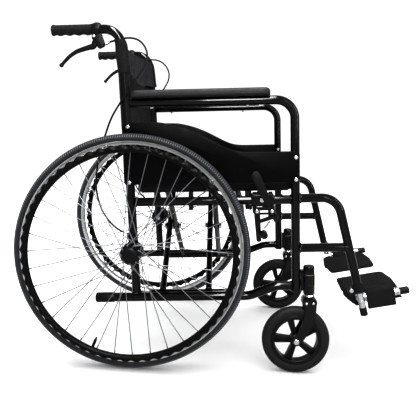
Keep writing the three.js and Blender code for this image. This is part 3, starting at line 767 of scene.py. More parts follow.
def brake_clamp():
    """A split ring round the tube, two cheeks that hold the lever, and the cable's adjuster."""
    rear, front = -0.085, -0.066
    shape = Shape()
    ring = [(TUBE + 0.0006, rear), (0.015, rear), (0.0156, rear + 0.0015), (0.0156, front - 0.0015),
            (0.015, front),
            (TUBE + 0.0006, front)]
    shape.lathe(ring, at(SIDE, 0, POST_TOP_UP), FORWARD, sides=36, loop=True)
    lug = rounded([(rear + 0.004, 0.583, 0.001), (front - 0.002, 0.583, 0.001),
                   (front - 0.002, 0.5862, 0.002),
                   (rear + 0.004, 0.5862, 0.002)])
    shape.plate(lug, SIDE - 0.006, SIDE + 0.006, bevel=0.0006)
    cheek = rounded([(-0.087, 0.556, 0.003), (-0.065, 0.56, 0.003), (-0.057, 0.534, 0.003),
                     (-0.059, 0.527, 0.003),
                     (-0.073, 0.521, 0.003), (-0.078, 0.536, 0.004), (-0.088, 0.546, 0.004)])
    for inner in (0.222, 0.235):
        shape.plate(cheek, inner, inner + 0.003, bevel=0.0007)
    body = rounded([(-0.078, 0.558, 0.003), (-0.066, 0.559, 0.003), (-0.058, 0.535, 0.003),
                    (-0.06, 0.529, 0.003),
                    (-0.07, 0.5275, 0.004)])
    shape.plate(body, 0.2235, 0.2365, bevel=0.0015)
    shape.screw(at(0.238, -0.082, 0.5525), ACROSS, 0.0042, 1, 0.002)
    heading = (CABLE_LINE[1] - CABLE_LINE[0]).normalized()
    start = CABLE_LINE[0] - heading * 0.008
    shape.rod(start, start + heading * 0.012, 0.0034, 1, 12, 0.0004)
    return shape.nut(start + heading * 0.003, heading, 0.0042, 0.003, 1)


# The lever blade's middle line and half height: forward, up, half height.
LEVER_BLADE = [
    (-0.08, 0.549, 0.005), (-0.0815, 0.54, 0.007), (-0.086, 0.5285, 0.0078), (-0.097, 0.5255, 0.0068),
    (-0.112, 0.5215, 0.006), (-0.13, 0.5155, 0.0053), (-0.148, 0.5045, 0.0046), (-0.16, 0.4935, 0.0042),
    (-0.169, 0.4845, 0.004),
]


def brake_lever():
    """A curved lever blade that ends in a ball."""
    curve = smooth_line([Vector(point) for point in LEVER_BLADE], 6)
    rings = []
    for i, (forward, up, half) in enumerate(curve):
        before, after = curve[max(i - 1, 0)], curve[min(i + 1, len(curve) - 1)]
        heading = Vector((after.x - before.x, after.y - before.y)).normalized()
        ring = []
        for angle in turns(20):
            x, y = copysign(abs(cos(angle)) ** 0.7, cos(angle)), sin(angle)
            ring.append(at(SIDE + 0.0044 * x, forward - heading.y * half * y, up + heading.x * half * y))
        rings.append(ring)
    shape = Shape().rings(rings)
    ball = [(0.0056 * sin(pi * i / 12), -0.0056 * cos(pi * i / 12)) for i in range(13)]
    return shape.lathe(ball, at(SIDE, -0.1708, 0.4824), ACROSS, sides=20)


# The cable's route, from the lever's adjuster to the hub brake: across, forward, up.
CABLE_ROUTE = [
    (0.23, -0.05, 0.535), (0.224, -0.042, 0.5395), (0.215, -0.029, 0.5445), (0.211, -0.012, 0.549),
    (0.214, 0.008, 0.549), (0.22, 0.028, 0.542), (0.227, 0.043, 0.527), (0.233, 0.051, 0.506),
    (0.238, 0.048, 0.482), (0.242, 0.034, 0.458), (0.2446, 0.018, 0.436), (0.245, 0.001, 0.411),
    (0.245, -0.022, 0.38), (0.245, -0.044, 0.345), (0.2446, -0.062, 0.301), (0.244, -0.08, 0.248),
    (0.244, -0.089, 0.2), (0.244, -0.091, 0.165), (0.244, -0.086, 0.132), (0.245, -0.077, 0.106),
    (0.246, -0.064, 0.084), (0.247, -0.048, 0.066), (0.248, -0.03, 0.053), (0.2485, -0.013, 0.0475),
]
CABLE_LINE = smooth_line([at(*point) for point in CABLE_ROUTE], 8)


def brake_cable():
    shape = Shape().tube(CABLE_LINE, 0.0024, sides=12)
    shape.rod(CABLE_LINE[0], CABLE_LINE[4], 0.0034, 1, 12, 0.0004)
    shape.rod(CABLE_LINE[-5], CABLE_LINE[-1], 0.0034, 1, 12, 0.0004)
    return shape


def hub_brake():
    profile = [(0.0065, 0.242), (0.014, 0.242), (0.015, 0.2435), (0.021, 0.2435), (0.023, 0.242),
               (0.026, 0.242),
               (0.026, 0.2505), (0.024, 0.2542), (0.0065, 0.2542)]
    shape = Shape().lathe(profile, at(0, 0, 0), ACROSS, sides=48, loop=True)
    shape.plate(strap((-0.006, 0.02), 0.0055, (-0.013, 0.0475), 0.004), 0.2418, 0.2455)
    return shape.screw(at(0.2455, -0.013, 0.0475), ACROSS, 0.0036, 1)


def rear_axle():
    shape = Shape().rod(at(0.2165, 0, 0), at(0.298, 0, 0), 0.0059, sides=20)
    return shape.nut(at(0.2186, 0, 0), -ACROSS, 0.0098, 0.0046)


# Rear wheel, about its own axle ----------------------------------------


def wheel_point(across, radius, angle):
    """A point on the rear wheel: angle runs from straight ahead, upwards."""
    return Vector((AXLE.x + across, AXLE.y - radius * cos(angle), AXLE.z + radius * sin(angle)))


def tyre():
    """Round section with two rows of shoulder blocks, a centre rib and a bead edge."""
    bead = TYRE_RADIUS - 0.0177
    profile = mirrored([
        (bead, 0.01), (bead + 0.001, 0.0118), (bead + 0.004, 0.0142), (bead + 0.0075, 0.0154),
        (bead + 0.01, 0.015),
        (bead + 0.0118, 0.0138), (bead + 0.0136, 0.0122), (bead + 0.015, 0.0102), (bead + 0.016, 0.008),
        (bead + 0.0167, 0.0058), (bead + 0.0172, 0.0038), (bead + 0.0177, 0.0026),
    ])
    segments, size = TREAD_PITCHES * 3, len(profile)
    rings = []
    for i, angle in enumerate(turns(segments)):
        ring = []
        for k, (r, x) in enumerate(profile):
            step = min(k, size - 1 - k)
            cut = 0.0
            if 4 <= step <= 8 and i % 3 == 0:
                cut = 0.0016
            if step == 10:
                cut = 0.0007
            ring.append(wheel_point(x * (1 - cut * 8), r - cut, angle))
        rings.append(ring)
    shape = Shape().rings(rings, loop=True)
    # The shoulder-block faces of every third pitch take the lighter copy: a painted highlight on the tread
    # blocks.
    for face in range(len(shape.faces)):
        i, step = face // size, min(face % size, size - 2 - face % size)
        if step in (4, 5, 7) and i % 3 == 1:
            shape.paints[face] = 1
    return shape


def revolved(shape, profile, place, segments):
    """Adds a closed profile of (radius, across), turned about the axle that place() measures from."""
    rings = [[place(x, r, angle) for r, x in profile] for angle in turns(segments)]
    return shape.rings(rings, loop=True)


def rim():
    profile = [
        (0.2772, -0.006), (0.2768, -0.002), (0.2768, 0.002), (0.2772, 0.006), (0.28, 0.0092),
        (0.2838, 0.0108),
        (0.2868, 0.0114), (0.2869, 0.01), (0.285, 0.0086), (0.285, -0.0086), (0.2869, -0.01),
        (0.2868, -0.0114),
        (0.2838, -0.0108), (0.28, -0.0092),
    ]
    shape = revolved(Shape(), profile, wheel_point, 160)
    for i in range(SPOKES):
        angle = radians(i * 360 / SPOKES + FIRST_SPOKE)
        nipple = [(0.0, -0.011), (0.0016, -0.011), (0.0019, -0.009), (0.0019, -0.001), (0.003, 0.001),
                  (0, 0.001)]
        axis = wheel_point(0, 1, angle) - wheel_point(0, 0, angle)
        shape.lathe(nipple, wheel_point(0, SPOKE_BED, angle), axis, 1, 8)
    valve = radians(250)
    axis = wheel_point(0, 1, valve) - wheel_point(0, 0, valve)
    stem = [(0, -0.032), (0.0022, -0.031), (0.0025, -0.026), (0.004, -0.024), (0.004, -0.003),
            (0.0045, 0.001), (0, 0.001)]
    return shape.lathe(stem, wheel_point(0, SPOKE_BED, valve), axis, 2, 12)


def spoked_hub():
    offset_in = -AXLE.x
    profile = [
        (0.0065, 0.2552), (0.018, 0.2552), (0.0262, 0.2568), (0.0272, 0.2585), (0.0262, 0.26),
        (0.0165, 0.2625),
        (0.0148, 0.267), (0.0144, 0.2735), (0.0148, 0.28), (0.0165, 0.2838), (0.0262, 0.2862),
        (0.0272, 0.288),
        (0.0262, 0.2896), (0.0215, 0.2905), (0.0212, 0.296), (0.0065, 0.2965),
    ]
    shape = revolved(Shape(), [(r, x + offset_in) for r, x in profile], wheel_point, 64)
    dome = [(0.0205, 0.0285), (0.0202, 0.0305), (0.0185, 0.0325), (0.015, 0.0338), (0.01, 0.0344),
            (0.0, 0.0346),
            (0.0, 0.0282)]
    shape.lathe(dome, wheel_point(0, 0, 0), ACROSS, 1, 40)
    for i in range(SPOKES):
        rim_angle = radians(i * 360 / SPOKES + FIRST_SPOKE)
        lead = SPOKE_LEAD if i % 4 < 2 else -SPOKE_LEAD
        hub_angle = rim_angle + radians(lead)
        side = 0.0016 if lead > 0 else -0.0016
        flange = (0.2582 if i % 2 == 0 else 0.2878) + offset_in + side
        inner = wheel_point(flange, 0.024, hub_angle)
        outer = wheel_point(0, 0.2765, rim_angle)
        shape.rod(inner, outer, SPOKE_RADIUS, 2, 7)
        head = [(0, -0.0016), (0.0022, -0.0012), (0.0024, 0.0), (0.0022, 0.0012), (0, 0.0016)]
        shape.lathe(head, inner, ACROSS, 2, 8)
    return shape


def handrim():
    """A thick ring with finger waves on the side that faces the tyre, held by six bracket tabs."""
    radius, section, outboard = 0.268, 0.0092, 0.029
    segments, sides = HANDRIM_WAVES * 12, 22
    rings = []
    for angle in turns(segments):
        crest = 0.5 + 0.5 * cos(HANDRIM_WAVES * angle)
        ring = []
        for turn in turns(sides):
            outwards = max(0.0, cos(turn))
            inwards = max(0.0, -cos(turn))
            valley = 1 - crest
            r = section + 0.0014 * outwards - valley * (0.0012 * (1 - inwards) + 0.0034 * outwards ** 0.6)
            ring.append(wheel_point(outboard + r * sin(turn), radius + r * cos(turn), angle))
        rings.append(ring)
    shape = Shape().rings(rings, loop=True)
    for i in range(HANDRIM_TABS):
        angle = radians(45 + 60 * i)
        bracket = [wheel_point(x, r, angle) for x, r in ((0.01, 0.279), (0.018, 0.2765), (0.026, 0.2715))]
        shape.tube(bracket, 0.0036, 1, 12)
        axis = wheel_point(0, 0, angle) - wheel_point(0, 1, angle)
        for shift in (-0.006, 0.006):
            spot = angle + shift / radius
            shape.nut(wheel_point(0.006, 0.2768, spot), axis, 0.0034, 0.004, 1)
    return shape


# Front caster ----------------------------------------------------------


def caster_point(across, radius, angle):
    return CASTER_AXLE + Vector((across, -radius * cos(angle), radius * sin(angle)))


def bent_leg(start, elbow, end, start_half, end_half, steps=16):
    """The outline of a leg that narrows along a curve, with round ends."""
    first, second, last_angle = [], [], 0.0
    for i in range(steps + 1):
        t = i / steps
        centre = start.lerp(elbow, t).lerp(elbow.lerp(end, t), t)
        direction = (elbow - start).lerp(end - elbow, t)
        last_angle = atan2(direction.y, direction.x)
        normal = Vector((-sin(last_angle), cos(last_angle)))
        half = start_half + (end_half - start_half) * t ** 0.7
        first.append(centre + normal * half)
        second.append(centre - normal * half)
    start_angle = atan2((elbow - start).y, (elbow - start).x)
    heel, toe = [], []
    for i in range(1, steps):
        turn = pi * i / steps
        heel.append(start + start_half * Vector((cos(start_angle + pi / 2 + turn),
                                                 sin(start_angle + pi / 2 + turn))))
        toe.append(end + end_half * Vector((cos(last_angle - pi / 2 + turn),
                                            sin(last_angle - pi / 2 + turn))))
    return [tuple(p) for p in (*first[::-1], *heel, *second, *toe)]


def caster_fork():
    crown_up = -0.145
    heel = Vector((STEM_FORWARD + 0.001, crown_up - 0.004))
    elbow = Vector((0.461, -0.202))
    foot = Vector((CASTER_AXLE_FORWARD, CASTER_AXLE_UP))
    shape = Shape()
    for inner in (CASTER_ACROSS - 0.02, CASTER_ACROSS + 0.016):
        shape.plate(bent_leg(heel, elbow, foot, 0.0165, 0.0118), inner, inner + 0.004, bevel=0.0009)
    crown = strap((STEM_FORWARD - 0.005, crown_up), 0.0145, (STEM_FORWARD + 0.005, crown_up), 0.0145, 16)
    shape.plate(crown, CASTER_ACROSS - 0.0202, CASTER_ACROSS + 0.0202, bevel=0.003)
    for side in (-1, 1):
        for forward in (-0.009, 0.009):
            spot = at(CASTER_ACROSS + side * 0.0202, STEM_FORWARD + forward, crown_up)
            shape.screw(spot, ACROSS * side, 0.0036, 1, 0.0018)
    base = at(CASTER_ACROSS, STEM_FORWARD, 0)
    shape.rod(base + UP * -0.14, base + UP * -0.06, 0.0054, 1, 16)
    washer = [(0.0056, -0.1316), (0.0125, -0.1316), (0.0135, -0.13), (0.0125, -0.1272), (0.011, -0.125),
              (0.0056, -0.125)]
    return shape.lathe(washer, base, UP, 1, 30, loop=True)


def caster_wheel():
    """Black hub and rim joined by five spokes, each a web between two ribs."""
    rim_half = [(0.0562, -0.0115), (0.0572, -0.0125), (0.065, -0.0125), (0.066, -0.0115)]
    hub_half = [(0.0045, -0.0155), (0.011, -0.0155), (0.0125, -0.0145), (0.016, -0.011)]
    shape = revolved(Shape(), mirrored(rim_half), caster_point, 96)
    revolved(shape, mirrored(hub_half), caster_point, 40)

    def place_at(angle):
        radial = caster_point(0, 1, angle) - caster_point(0, 0, angle)
        sideways = radial.cross(ACROSS)
        return lambda x, y, depth: CASTER_AXLE + radial * x + sideways * y + ACROSS * depth

    for i in range(5):
        place = place_at(radians(36 + 72 * i))
        web = [(0.013, -0.0065), (0.0575, -0.0085), (0.0575, 0.0085), (0.013, 0.0065)]
        shape.extrude(web, place, -0.0065, 0.0065, bevel=0.0008)
        for sign in (-1, 1):
            edge = [(0.013, sign * 0.006), (0.0575, sign * 0.0092), (0.0575, sign * 0.006),
                    (0.013, sign * 0.003)]
            shape.extrude(edge, place, -0.0105, 0.0105, bevel=0.0008)
    return shape


def caster_tyre():
    r = CASTER_RADIUS
    half = [(0.0663, -0.0118), (0.07, -0.013), (0.076, -0.0138), (0.082, -0.013), (r - 0.0028, -0.0102),
            (r - 0.0008, -0.0068), (r, -0.003)]
    return revolved(Shape(), mirrored(half), caster_point, 128)


def caster_axle():
    shape = Shape().rod(CASTER_AXLE - ACROSS * 0.0202, CASTER_AXLE + ACROSS * 0.0202, 0.0039, sides=16)
    shape.lathe([(0.0072, 0), (0.0072, 0.0032), (0.006, 0.0043), (0, 0.0045)],
                CASTER_AXLE + ACROSS * 0.0201, ACROSS, 0, 24)
    shape.nut(CASTER_AXLE + ACROSS * 0.0203, ACROSS, 0.0074, 0.0036)
    return shape.nut(CASTER_AXLE - ACROSS * 0.0203, -ACROSS, 0.0074, 0.0042)


# Footrest --------------------------------------------------------------


def along_rod(distance):
    return FLIP_PIVOT + FLIP_AXIS * distance


def footrest_tube():
    """The bright inner tube, its rubber tip, and the rod that the footplate turns on."""
    top, tip, end = HANGER_END_UP + 0.11, -0.167, -0.186
    points = [at(SIDE, hanger_forward(up), up) for up in (top, tip + 0.002, end)]
    shape = Shape().rod(points[0], points[1], 0.0089, 0, 24)
    shape.rod(points[1] - SLIDE_AXIS * 0.002, points[2], 0.0098, 1, 24, 0.0018)
    shape.rod(along_rod(-0.01), along_rod(0.12), 0.0087, 0, 24)
    shape.rod(along_rod(0.105), along_rod(0.131), 0.0096, 1, 24, 0.0022)
    boss = at(SIDE, hanger_forward(-0.15), -0.15)
    shape.rod(boss, boss + ACROSS * 0.0105, 0.0058, 0, 16, 0.0005)
    return shape


def footplate():
    """A moulded tread, the wing wrapped over its rod and down outside it, and bright clips."""
    normal = ACROSS.cross(FLIP_AXIS)
    if normal.dot(UP) < 0:
        normal = -normal

    def flat(x, y, depth):
        return FLIP_PIVOT + ACROSS * x + FLIP_AXIS * y + normal * depth

    def upright(x, z, along):
        return flat(x, along, z)

    inner, notch, low, high = -0.178, -0.03, -0.007, 0.003

    def outline(front_radius, rear_radius):
        return rounded([(inner, -0.024, 0.012), (inner, 0.112, 0.014), (-0.105, 0.119, 0.04),
                        (notch, 0.113, front_radius), (notch, -0.009, rear_radius),
                        (-0.084, -0.03, 0.03)], 8)

    shape = Shape().extrude(outline(0.002, 0.003), flat, low, high - 0.0008, bevel=0.0026)
    raised = offset(anticlockwise(outline(0.004, 0.004)), 0.0065)
    shape.extrude(raised, flat, high - 0.0022, high, bevel=0.0006)
    wing = rounded([(notch - 0.001, low + 0.001, 0), (notch - 0.001, high - 0.001, 0),
                    (-0.016, 0.0172, 0.012),
                    (0.0138, 0.0172, 0.006), (0.0138, -0.03, 0.0015), (0.0075, -0.03, 0.0015),
                    (0.0075, -0.0125, 0.002),
                    (-0.014, -0.012, 0.003)], 6)
    shape.extrude(wing, upright, 0.0172, 0.0908, bevel=0.0012)
    heel = rounded([(-0.088, -0.028, 0.004), (-0.06, 0.011, 0.004), (0.004, 0.011, 0.001),
                    (0.004, -0.0106, 0.001),
                    (0.012, -0.0106, 0.0005), (0.012, -0.013, 0.001), (-0.012, -0.019, 0.016),
                    (-0.052, -0.025, 0.03)])
    shape.extrude(heel, flat, -0.017, -0.0096, bevel=0.0022)
    web = rounded([(-0.096, -0.0285, 0.006), (-0.06, 0.01, 0.004), (-0.0125, 0.01, 0.001),
                   (-0.0125, -0.0185, 0.004),
                   (-0.052, -0.025, 0.03)])
    shape.extrude(web, flat, -0.0125, high - 0.0035, bevel=0.003)
    tab = rounded([(notch - 0.001, low + 0.001, 0), (notch - 0.001, -0.001, 0), (-0.018, -0.0005, 0.002),
                   (-0.011, -0.0099, 0), (0.012, -0.0099, 0), (0.012, -0.0128, 0.001),
                   (-0.018, -0.0128, 0.002)])
    shape.extrude(tab, upright, 0.08, 0.1088, bevel=0.0008)
    for start in (0.0915, 0.0985):
        clip = [(0.0093, start), (0.0118, start), (0.0122, start + 0.003), (0.0118, start + 0.006),
                (0.0093, start + 0.006)]
        shape.lathe(clip, FLIP_PIVOT, FLIP_AXIS, 1, 28, loop=True)
    washer = [(0.0093, 0.0122), (0.0112, 0.0122), (0.0122, 0.0138), (0.0122, 0.016), (0.0112, 0.017),
              (0.0093, 0.017)]
    return shape.lathe(washer, FLIP_PIVOT, FLIP_AXIS, 1, 28, loop=True)


# Parking lock ----------------------------------------------------------


def lock_bracket():
    """A block clamped round the seat tube, and the slotted steel face that carries both pivots."""
    inner, outer = SIDE + TUBE + 2 * GAP, LOCK_ACROSS - 0.0034
    block = rounded([(0.309, 0.143, 0.006), (0.368, 0.143, 0.006), (0.368, 0.11, 0.005),
                     (0.309, 0.11, 0.005)])
    shape = Shape().plate(block, SIDE - 0.014, inner + 0.002, 1, 0.0022)
    for bar in (
        rounded([(0.312, 0.139, 0.005), (0.369, 0.139, 0.005), (0.369, 0.1142, 0.001),
                 (0.312, 0.1142, 0.001)]),
        rounded([(0.337, 0.116, 0), (0.369, 0.116, 0), (0.369, 0.102, 0.004), (0.3725, 0.094, 0),
                 (0.352, 0.094, 0),
                 (0.352, 0.1, 0.002), (0.337, 0.1, 0.002)]),
        rounded([(0.312, 0.116, 0), (0.323, 0.116, 0), (0.323, 0.109, 0.002), (0.339, 0.109, 0.002),
                 (0.339, 0.1, 0),
                 (0.33, 0.1, 0.002), (0.33, 0.0945, 0.002), (0.356, 0.0945, 0), (0.356, 0.089, 0),
                 (0.318, 0.089, 0.006),
                 (0.312, 0.096, 0.006)]),
        rounded([(0.352, 0.098, 0), (0.371, 0.098, 0), (0.377, 0.086, 0.004), (0.377, 0.069, 0.003),
                 (0.368, 0.069, 0.003),
                 (0.364, 0.077, 0), (0.333, 0.067, 0.002), (0.329, 0.076, 0.002), (0.352, 0.084, 0.002)]),
    ):
        shape.plate(bar, inner, outer, bevel=0.0007)
    shape.nut(at(outer - 0.0004, 0.3365, 0.127), ACROSS, 0.0068, 0.0042, 2)
    for forward, up in (SHOE_PIVOT, LEVER_PIVOT):
        shape.rod(at(outer - 0.001, forward, up), at(LOCK_ACROSS - 0.0028, forward, up), 0.0045, 2, 16)
    shape.nut(at(SIDE - 0.014, 0.337, 0.125), -ACROSS, 0.006, 0.005, 2)
    for forward in (0.318, 0.36):
        shape.nut(at(SIDE, forward, 0.143), UP, 0.0048, 0.0035)
    cap = [(0, 0), (0.0085, 0), (0.0085, 0.0022), (0.0065, 0.0034), (0, 0.0034)]
    return shape.lathe(cap, at(SIDE, 0.383, SEAT_TUBE_UP + TUBE - 0.0006), UP, 1, 20)


def lock_lever():
    """A steel strap on its pivot, inside a flat plastic handle."""
    steel = strap(LEVER_PIVOT, 0.0085, (0.35, 0.124), 0.0075, 14)
    shape = Shape().plate(steel, LOCK_ACROSS - 0.003, LOCK_ACROSS, 2, 0.0008)
    handle = strap((0.3525, 0.1185), 0.0085, (0.322, 0.19), 0.012, 16)
    shape.plate(handle, LOCK_ACROSS - 0.0028, LOCK_ACROSS + 0.0022, 0, 0.0016)
    shape.screw(at(LOCK_ACROSS - 0.0002, *LEVER_PIVOT), ACROSS, 0.0052, 1, 0.0022)
    ring = [(0.0008, 0), (0.0017, 0), (0.0017, 0.0005), (0.0008, 0.0005)]
    return shape.lathe(ring, at(LOCK_ACROSS + 0.0021, 0.326, 0.179), ACROSS, 0, 16, loop=True)


def lock_shoe():
    """The swinging arm, and the knurled pin that it presses on the tyre."""
    arm = strap(SHOE_PIVOT, 0.008, (0.327, 0.025), 0.0065, 14)
    shape = Shape().plate(arm, LOCK_ACROSS - 0.003, LOCK_ACROSS + 0.001)
    shape.screw(at(LOCK_ACROSS + 0.0008, *SHOE_PIVOT), ACROSS, 0.0052, 1, 0.0022)
    start, end = at(LOCK_ACROSS - 0.003, *LOCK_PIN), at(LOCK_ACROSS + 0.034, *LOCK_PIN)
    profile = [(0, 0), (0.006, 0), (0.006, 0.006), (0.0094, 0.008), (0.0094, 0.012), (0.0086, 0.013),
               (0.0094, 0.014),
               (0.0094, 0.019), (0.0086, 0.02), (0.0094, 0.021), (0.0094, 0.033), (0.0084, 0.037),
               (0, 0.037)]
    shape.lathe(profile, start, end - start, 2, 24)
    link = [at(LOCK_ACROSS + 0.002, *spot) for spot in ((0.357, 0.073), (0.341, 0.054))]
    return shape.tube(link, 0.0026, 1, 12)


# Folding seat frame ----------------------------------------------------


def cross_brace(side, legs):
    """A scissor arm: seat rail high on one side (+1 left, -1 right), pivot tube low on the other."""
    seat = SEAT_RAIL_ACROSS * side
    rail_from, rail_to = 0.016, 0.412
    shape = Shape().rod(at(seat, rail_from, SEAT_RAIL_UP), at(seat, rail_to, SEAT_RAIL_UP), TUBE, 0, 26)
    for forward, way in ((rail_from, -1), (rail_to, 1)):
        plug = [(0, 0), (0.0108, 0), (0.0112, 0.001), (0.0104, 0.0034), (0.006, 0.0048), (0, 0.005)]
        shape.lathe(plug, at(seat, forward - 0.0002 * way, SEAT_RAIL_UP), FORWARD * way, 1, 24)
    shape.rod(at(-seat, 0.0385, RAIL_UP), at(-seat, 0.2365, RAIL_UP), 0.01, 0, 24, 0.0008)
    low_end, high_end = Vector((-seat, RAIL_UP)), Vector((seat, SEAT_RAIL_UP))
    direction = (high_end - low_end).normalized()
    for forward in legs:
        start, end = at(low_end.x, forward, low_end.y), at(high_end.x, forward, high_end.y)
        shape.rod(start, end, 0.0085, 0, 20)
        heading = (end - start).normalized()
        shape.bead(start + heading * 0.0105, heading, 0.0085)
        shape.bead(end - heading * 0.0115, heading, 0.0085)
        middle_up = (RAIL_UP + SEAT_RAIL_UP) / 2
        for way in (-1, 1):
            shape.lathe([(0.0044, 0.007), (0.0105, 0.007), (0.0105, 0.0088), (0.0044, 0.0088)],
                        at(0, forward, middle_up), FORWARD * way, 1, 20, loop=True)
    return shape


def brace_pin(leg):
    middle_up = (RAIL_UP + SEAT_RAIL_UP) / 2
    start = at(0, BRACE_A_LEGS[leg] - 0.015, middle_up)
    end = at(0, BRACE_B_LEGS[leg] + 0.015, middle_up)
    shape = Shape().rod(start, end, 0.004, 0, 16)
    shape.nut(start + FORWARD * 0.005, -FORWARD, 0.0078, 0.0055)
    return shape.nut(end - FORWARD * 0.005, FORWARD, 0.0078, 0.0055)


# Upholstery ------------------------------------------------------------


def cloth_shape(rows, thickness):
    """A sheet with two faces: a grid of points, doubled at a distance along its own normals."""
    count, size = len(rows), len(rows[0])
    top, under = [], []
    for i in range(count):
        for j in range(size):
            along = rows[min(i + 1, count - 1)][j] - rows[max(i - 1, 0)][j]
            over = rows[i][min(j + 1, size - 1)] - rows[i][max(j - 1, 0)]
            normal = along.cross(over).normalized() * thickness / 2
            top.append(rows[i][j] + normal)
            under.append(rows[i][j] - normal)
    total = count * size
    faces = []
    for i in range(count - 1):
        for j in range(size - 1):
            a = i * size + j
            faces.append([a, a + 1, a + size + 1, a + size])
            faces.append([total + a + size, total + a + size + 1, total + a + 1, total + a])
    border = list(range(size))
    border += [i * size + size - 1 for i in range(1, count)]
    border += [(count - 1) * size + j for j in range(size - 2, -1, -1)]
    border += [i * size for i in range(count - 2, 0, -1)]
    for a, b in zip(border, border[1:] + border[:1]):
        faces.append([b, a, total + a, total + b])
    return top + under, faces


def relaxed(rows, held, growth, frames=26):
    """The rows of a sheet after it has hung by its held (row, column) points, cut larger by growth."""
    size = len(rows[0])
    faces = []
    for i in range(len(rows) - 1):
        for j in range(size - 1):
            a = i * size + j
            faces.append([a, a + 1, a + size + 1, a + size])
    mesh = bpy.data.meshes.new("relaxing")
    mesh.from_pydata([p for row in rows for p in row], [], faces)
    cloth = bpy.data.objects.new("relaxing", mesh)
    bpy.context.scene.collection.objects.link(cloth)
    cloth.vertex_groups.new(name="held").add([i * size + j for i, j in held], 1.0, "REPLACE")
    modifier = cloth.modifiers.new("cloth", "CLOTH")
    settings = modifier.settings
    settings.quality = 8
    settings.mass = 0.25
    settings.tension_stiffness, settings.compression_stiffness = 30, 30
    settings.shear_stiffness, settings.bending_stiffness = 12, 0.6
    settings.vertex_group_mass = "held"
    settings.shrink_min = -growth
    modifier.point_cache.frame_end = frames
    for frame_number in range(1, frames + 1):
        bpy.context.scene.frame_set(frame_number)
    evaluated = cloth.evaluated_get(bpy.context.evaluated_depsgraph_get())
    points = [vertex.co.copy() for vertex in evaluated.data.vertices]
    bpy.data.objects.remove(cloth)
    bpy.data.meshes.remove(mesh)
    bpy.context.scene.frame_set(1)
    return [points[i:i + size] for i in range(0, len(points), size)]


def unevenness(x, y, seed):
    """A small push off a sheet's even form, so that it creases as it relaxes."""
    return 0.0022 * noise.noise(Vector((x * 9, y * 9, seed)))


def stitches(shape, line, paint, length=0.0042, pitch=0.0066):
    """A row of short raised threads along a line."""
    travelled = 0.0
    start = 0.0
    for a, b in zip(line, line[1:]):
        step = (b - a).length
        while start < travelled + step:
            head = a.lerp(b, max(0.0, (start - travelled) / step))
            shape.rod(head, head + (b - a).normalized() * length, 0.00045, paint, 5)
            start += pitch
        travelled += step
    return shape


def side_points(steps_along, steps_across):
    """The (row, column) points that hold a sheet by its two sides."""
    return [(i, j) for i in range(steps_along + 1) for j in (0, 1, steps_across - 1, steps_across)]


def seat_rows():
    """The seat between its rails: it sags, and its front and rear edges hang free."""
    rear, front = 0.0205, 0.4075
    along_steps, across_steps = 44, 48
    top = SEAT_RAIL_UP + TUBE + CLOTH_LIFT
    rows = []
    for i in range(along_steps + 1):
        forward = rear + (front - rear) * i / along_steps
        row = []
        for j in range(across_steps + 1):
            t = 2 * j / across_steps - 1
            slack = 1 - t * t
            sag = 0.0115 * slack ** 0.9
            row.append(at(SEAT_RAIL_ACROSS * t, forward,
                          top - sag + unevenness(t, forward * 4, 3.1) * slack))
        rows.append(row)
    return relaxed(rows, side_points(along_steps, across_steps), 0.003)


def round_rail(forward, side):
    """The seat's edge, carried down round a seat rail: from the top of the rail to under it."""
    wrap = TUBE + CLOTH_LIFT
    points = []
    for turn in range(1, 10):
        angle = radians(205 * turn / 9)
        across = side * (SEAT_RAIL_ACROSS + wrap * sin(angle))
        points.append(at(across, forward, SEAT_RAIL_UP + wrap * cos(angle)))
    return points


def seat_piece():
    rows = []
    for row in seat_rows():
        forward = (row[0] - at(0, 0, SEAT_RAIL_UP)).dot(FORWARD)
        rows.append([*reversed(round_rail(forward, -1)), *row, *round_rail(forward, 1)])
    shape = Shape().add(*cloth_shape(rows, CLOTH))
    for row in (rows[0], rows[-1]):
        shape.tube(row[9:-9], 0.002, 0, 8)
    lift = UP * 0.0013
    for index in (2, -3):
        stitches(shape, [p + lift for p in rows[index][11:-11]], 1)
    for column in (12, 15, -13, -16):
        stitches(shape, [row[column] + lift for row in rows[1:-1]], 1)
    return shape


def sheet_rows(low, high, half, forward_at, dip, steps_up, steps_across, seed):
    """Rows of points between the back posts, a little uneven, whose middle dips towards the top."""
    rows = []
    for i in range(steps_up + 1):
        height = i / steps_up
        up = low + (high - low) * height
        row = []
        for j in range(steps_across + 1):
            t = 2 * j / steps_across - 1
            slack = 1 - t * t
            forward = forward_at(t, up) + 2 * unevenness(t * 0.25 + up, up * 0.8 - t * 0.1, seed) * slack
            row.append(at(half * t, forward, up - dip * slack * height))
        rows.append(row)
    return rows


def back_panel():
    """The lower back: a sheet on the posts' rear half, that bows rearwards."""
    def forward_at(t, up):
        return post_forward(up) - 0.004 - 0.013 * max(0.0, 1 - t * t) ** 0.8

    grid = (44, 46)
    rows = sheet_rows(BACK_LOW, 0.5, SIDE - PANEL_END, forward_at, 0.0, *grid, 7.7)
    return relaxed(rows, side_points(*grid), 0.009)


def back_flap():
    """The upper band between the sleeves: its hems keep their line, the cloth between them creases."""
    def forward_at(t, up):
        middle_forward, depth = sleeve_place(up)
        return middle_forward + 0.5 * depth - 0.022 * max(0.0, 1 - t * t) ** 0.8

    grid = (20, 68)
    rows = sheet_rows(FLAP_LOW, BACK_TOP, SIDE - FLAP_END, forward_at, 0.0015, *grid, 2.4)
    hems = [(i, j) for i in (0, grid[0]) for j in range(grid[1] + 1)]
    return relaxed(rows, side_points(*grid) + hems, 0.032)


def sleeve_place(up):
    """The middle and half depth of the upper sleeve round a post, which bends back near its top."""
    bend = max(0.0, up - (POST_TOP_UP - POST_BEND))
    middle_forward = post_forward(up) - (POST_BEND - sqrt(POST_BEND ** 2 - bend ** 2))
    v = (up - FLAP_LOW) / (BACK_TOP - FLAP_LOW)
    return middle_forward - 0.0015 + 0.0045 * (1 - v) ** 2, 0.0155 - 0.0012 * v + 0.002 * sin(pi * v)


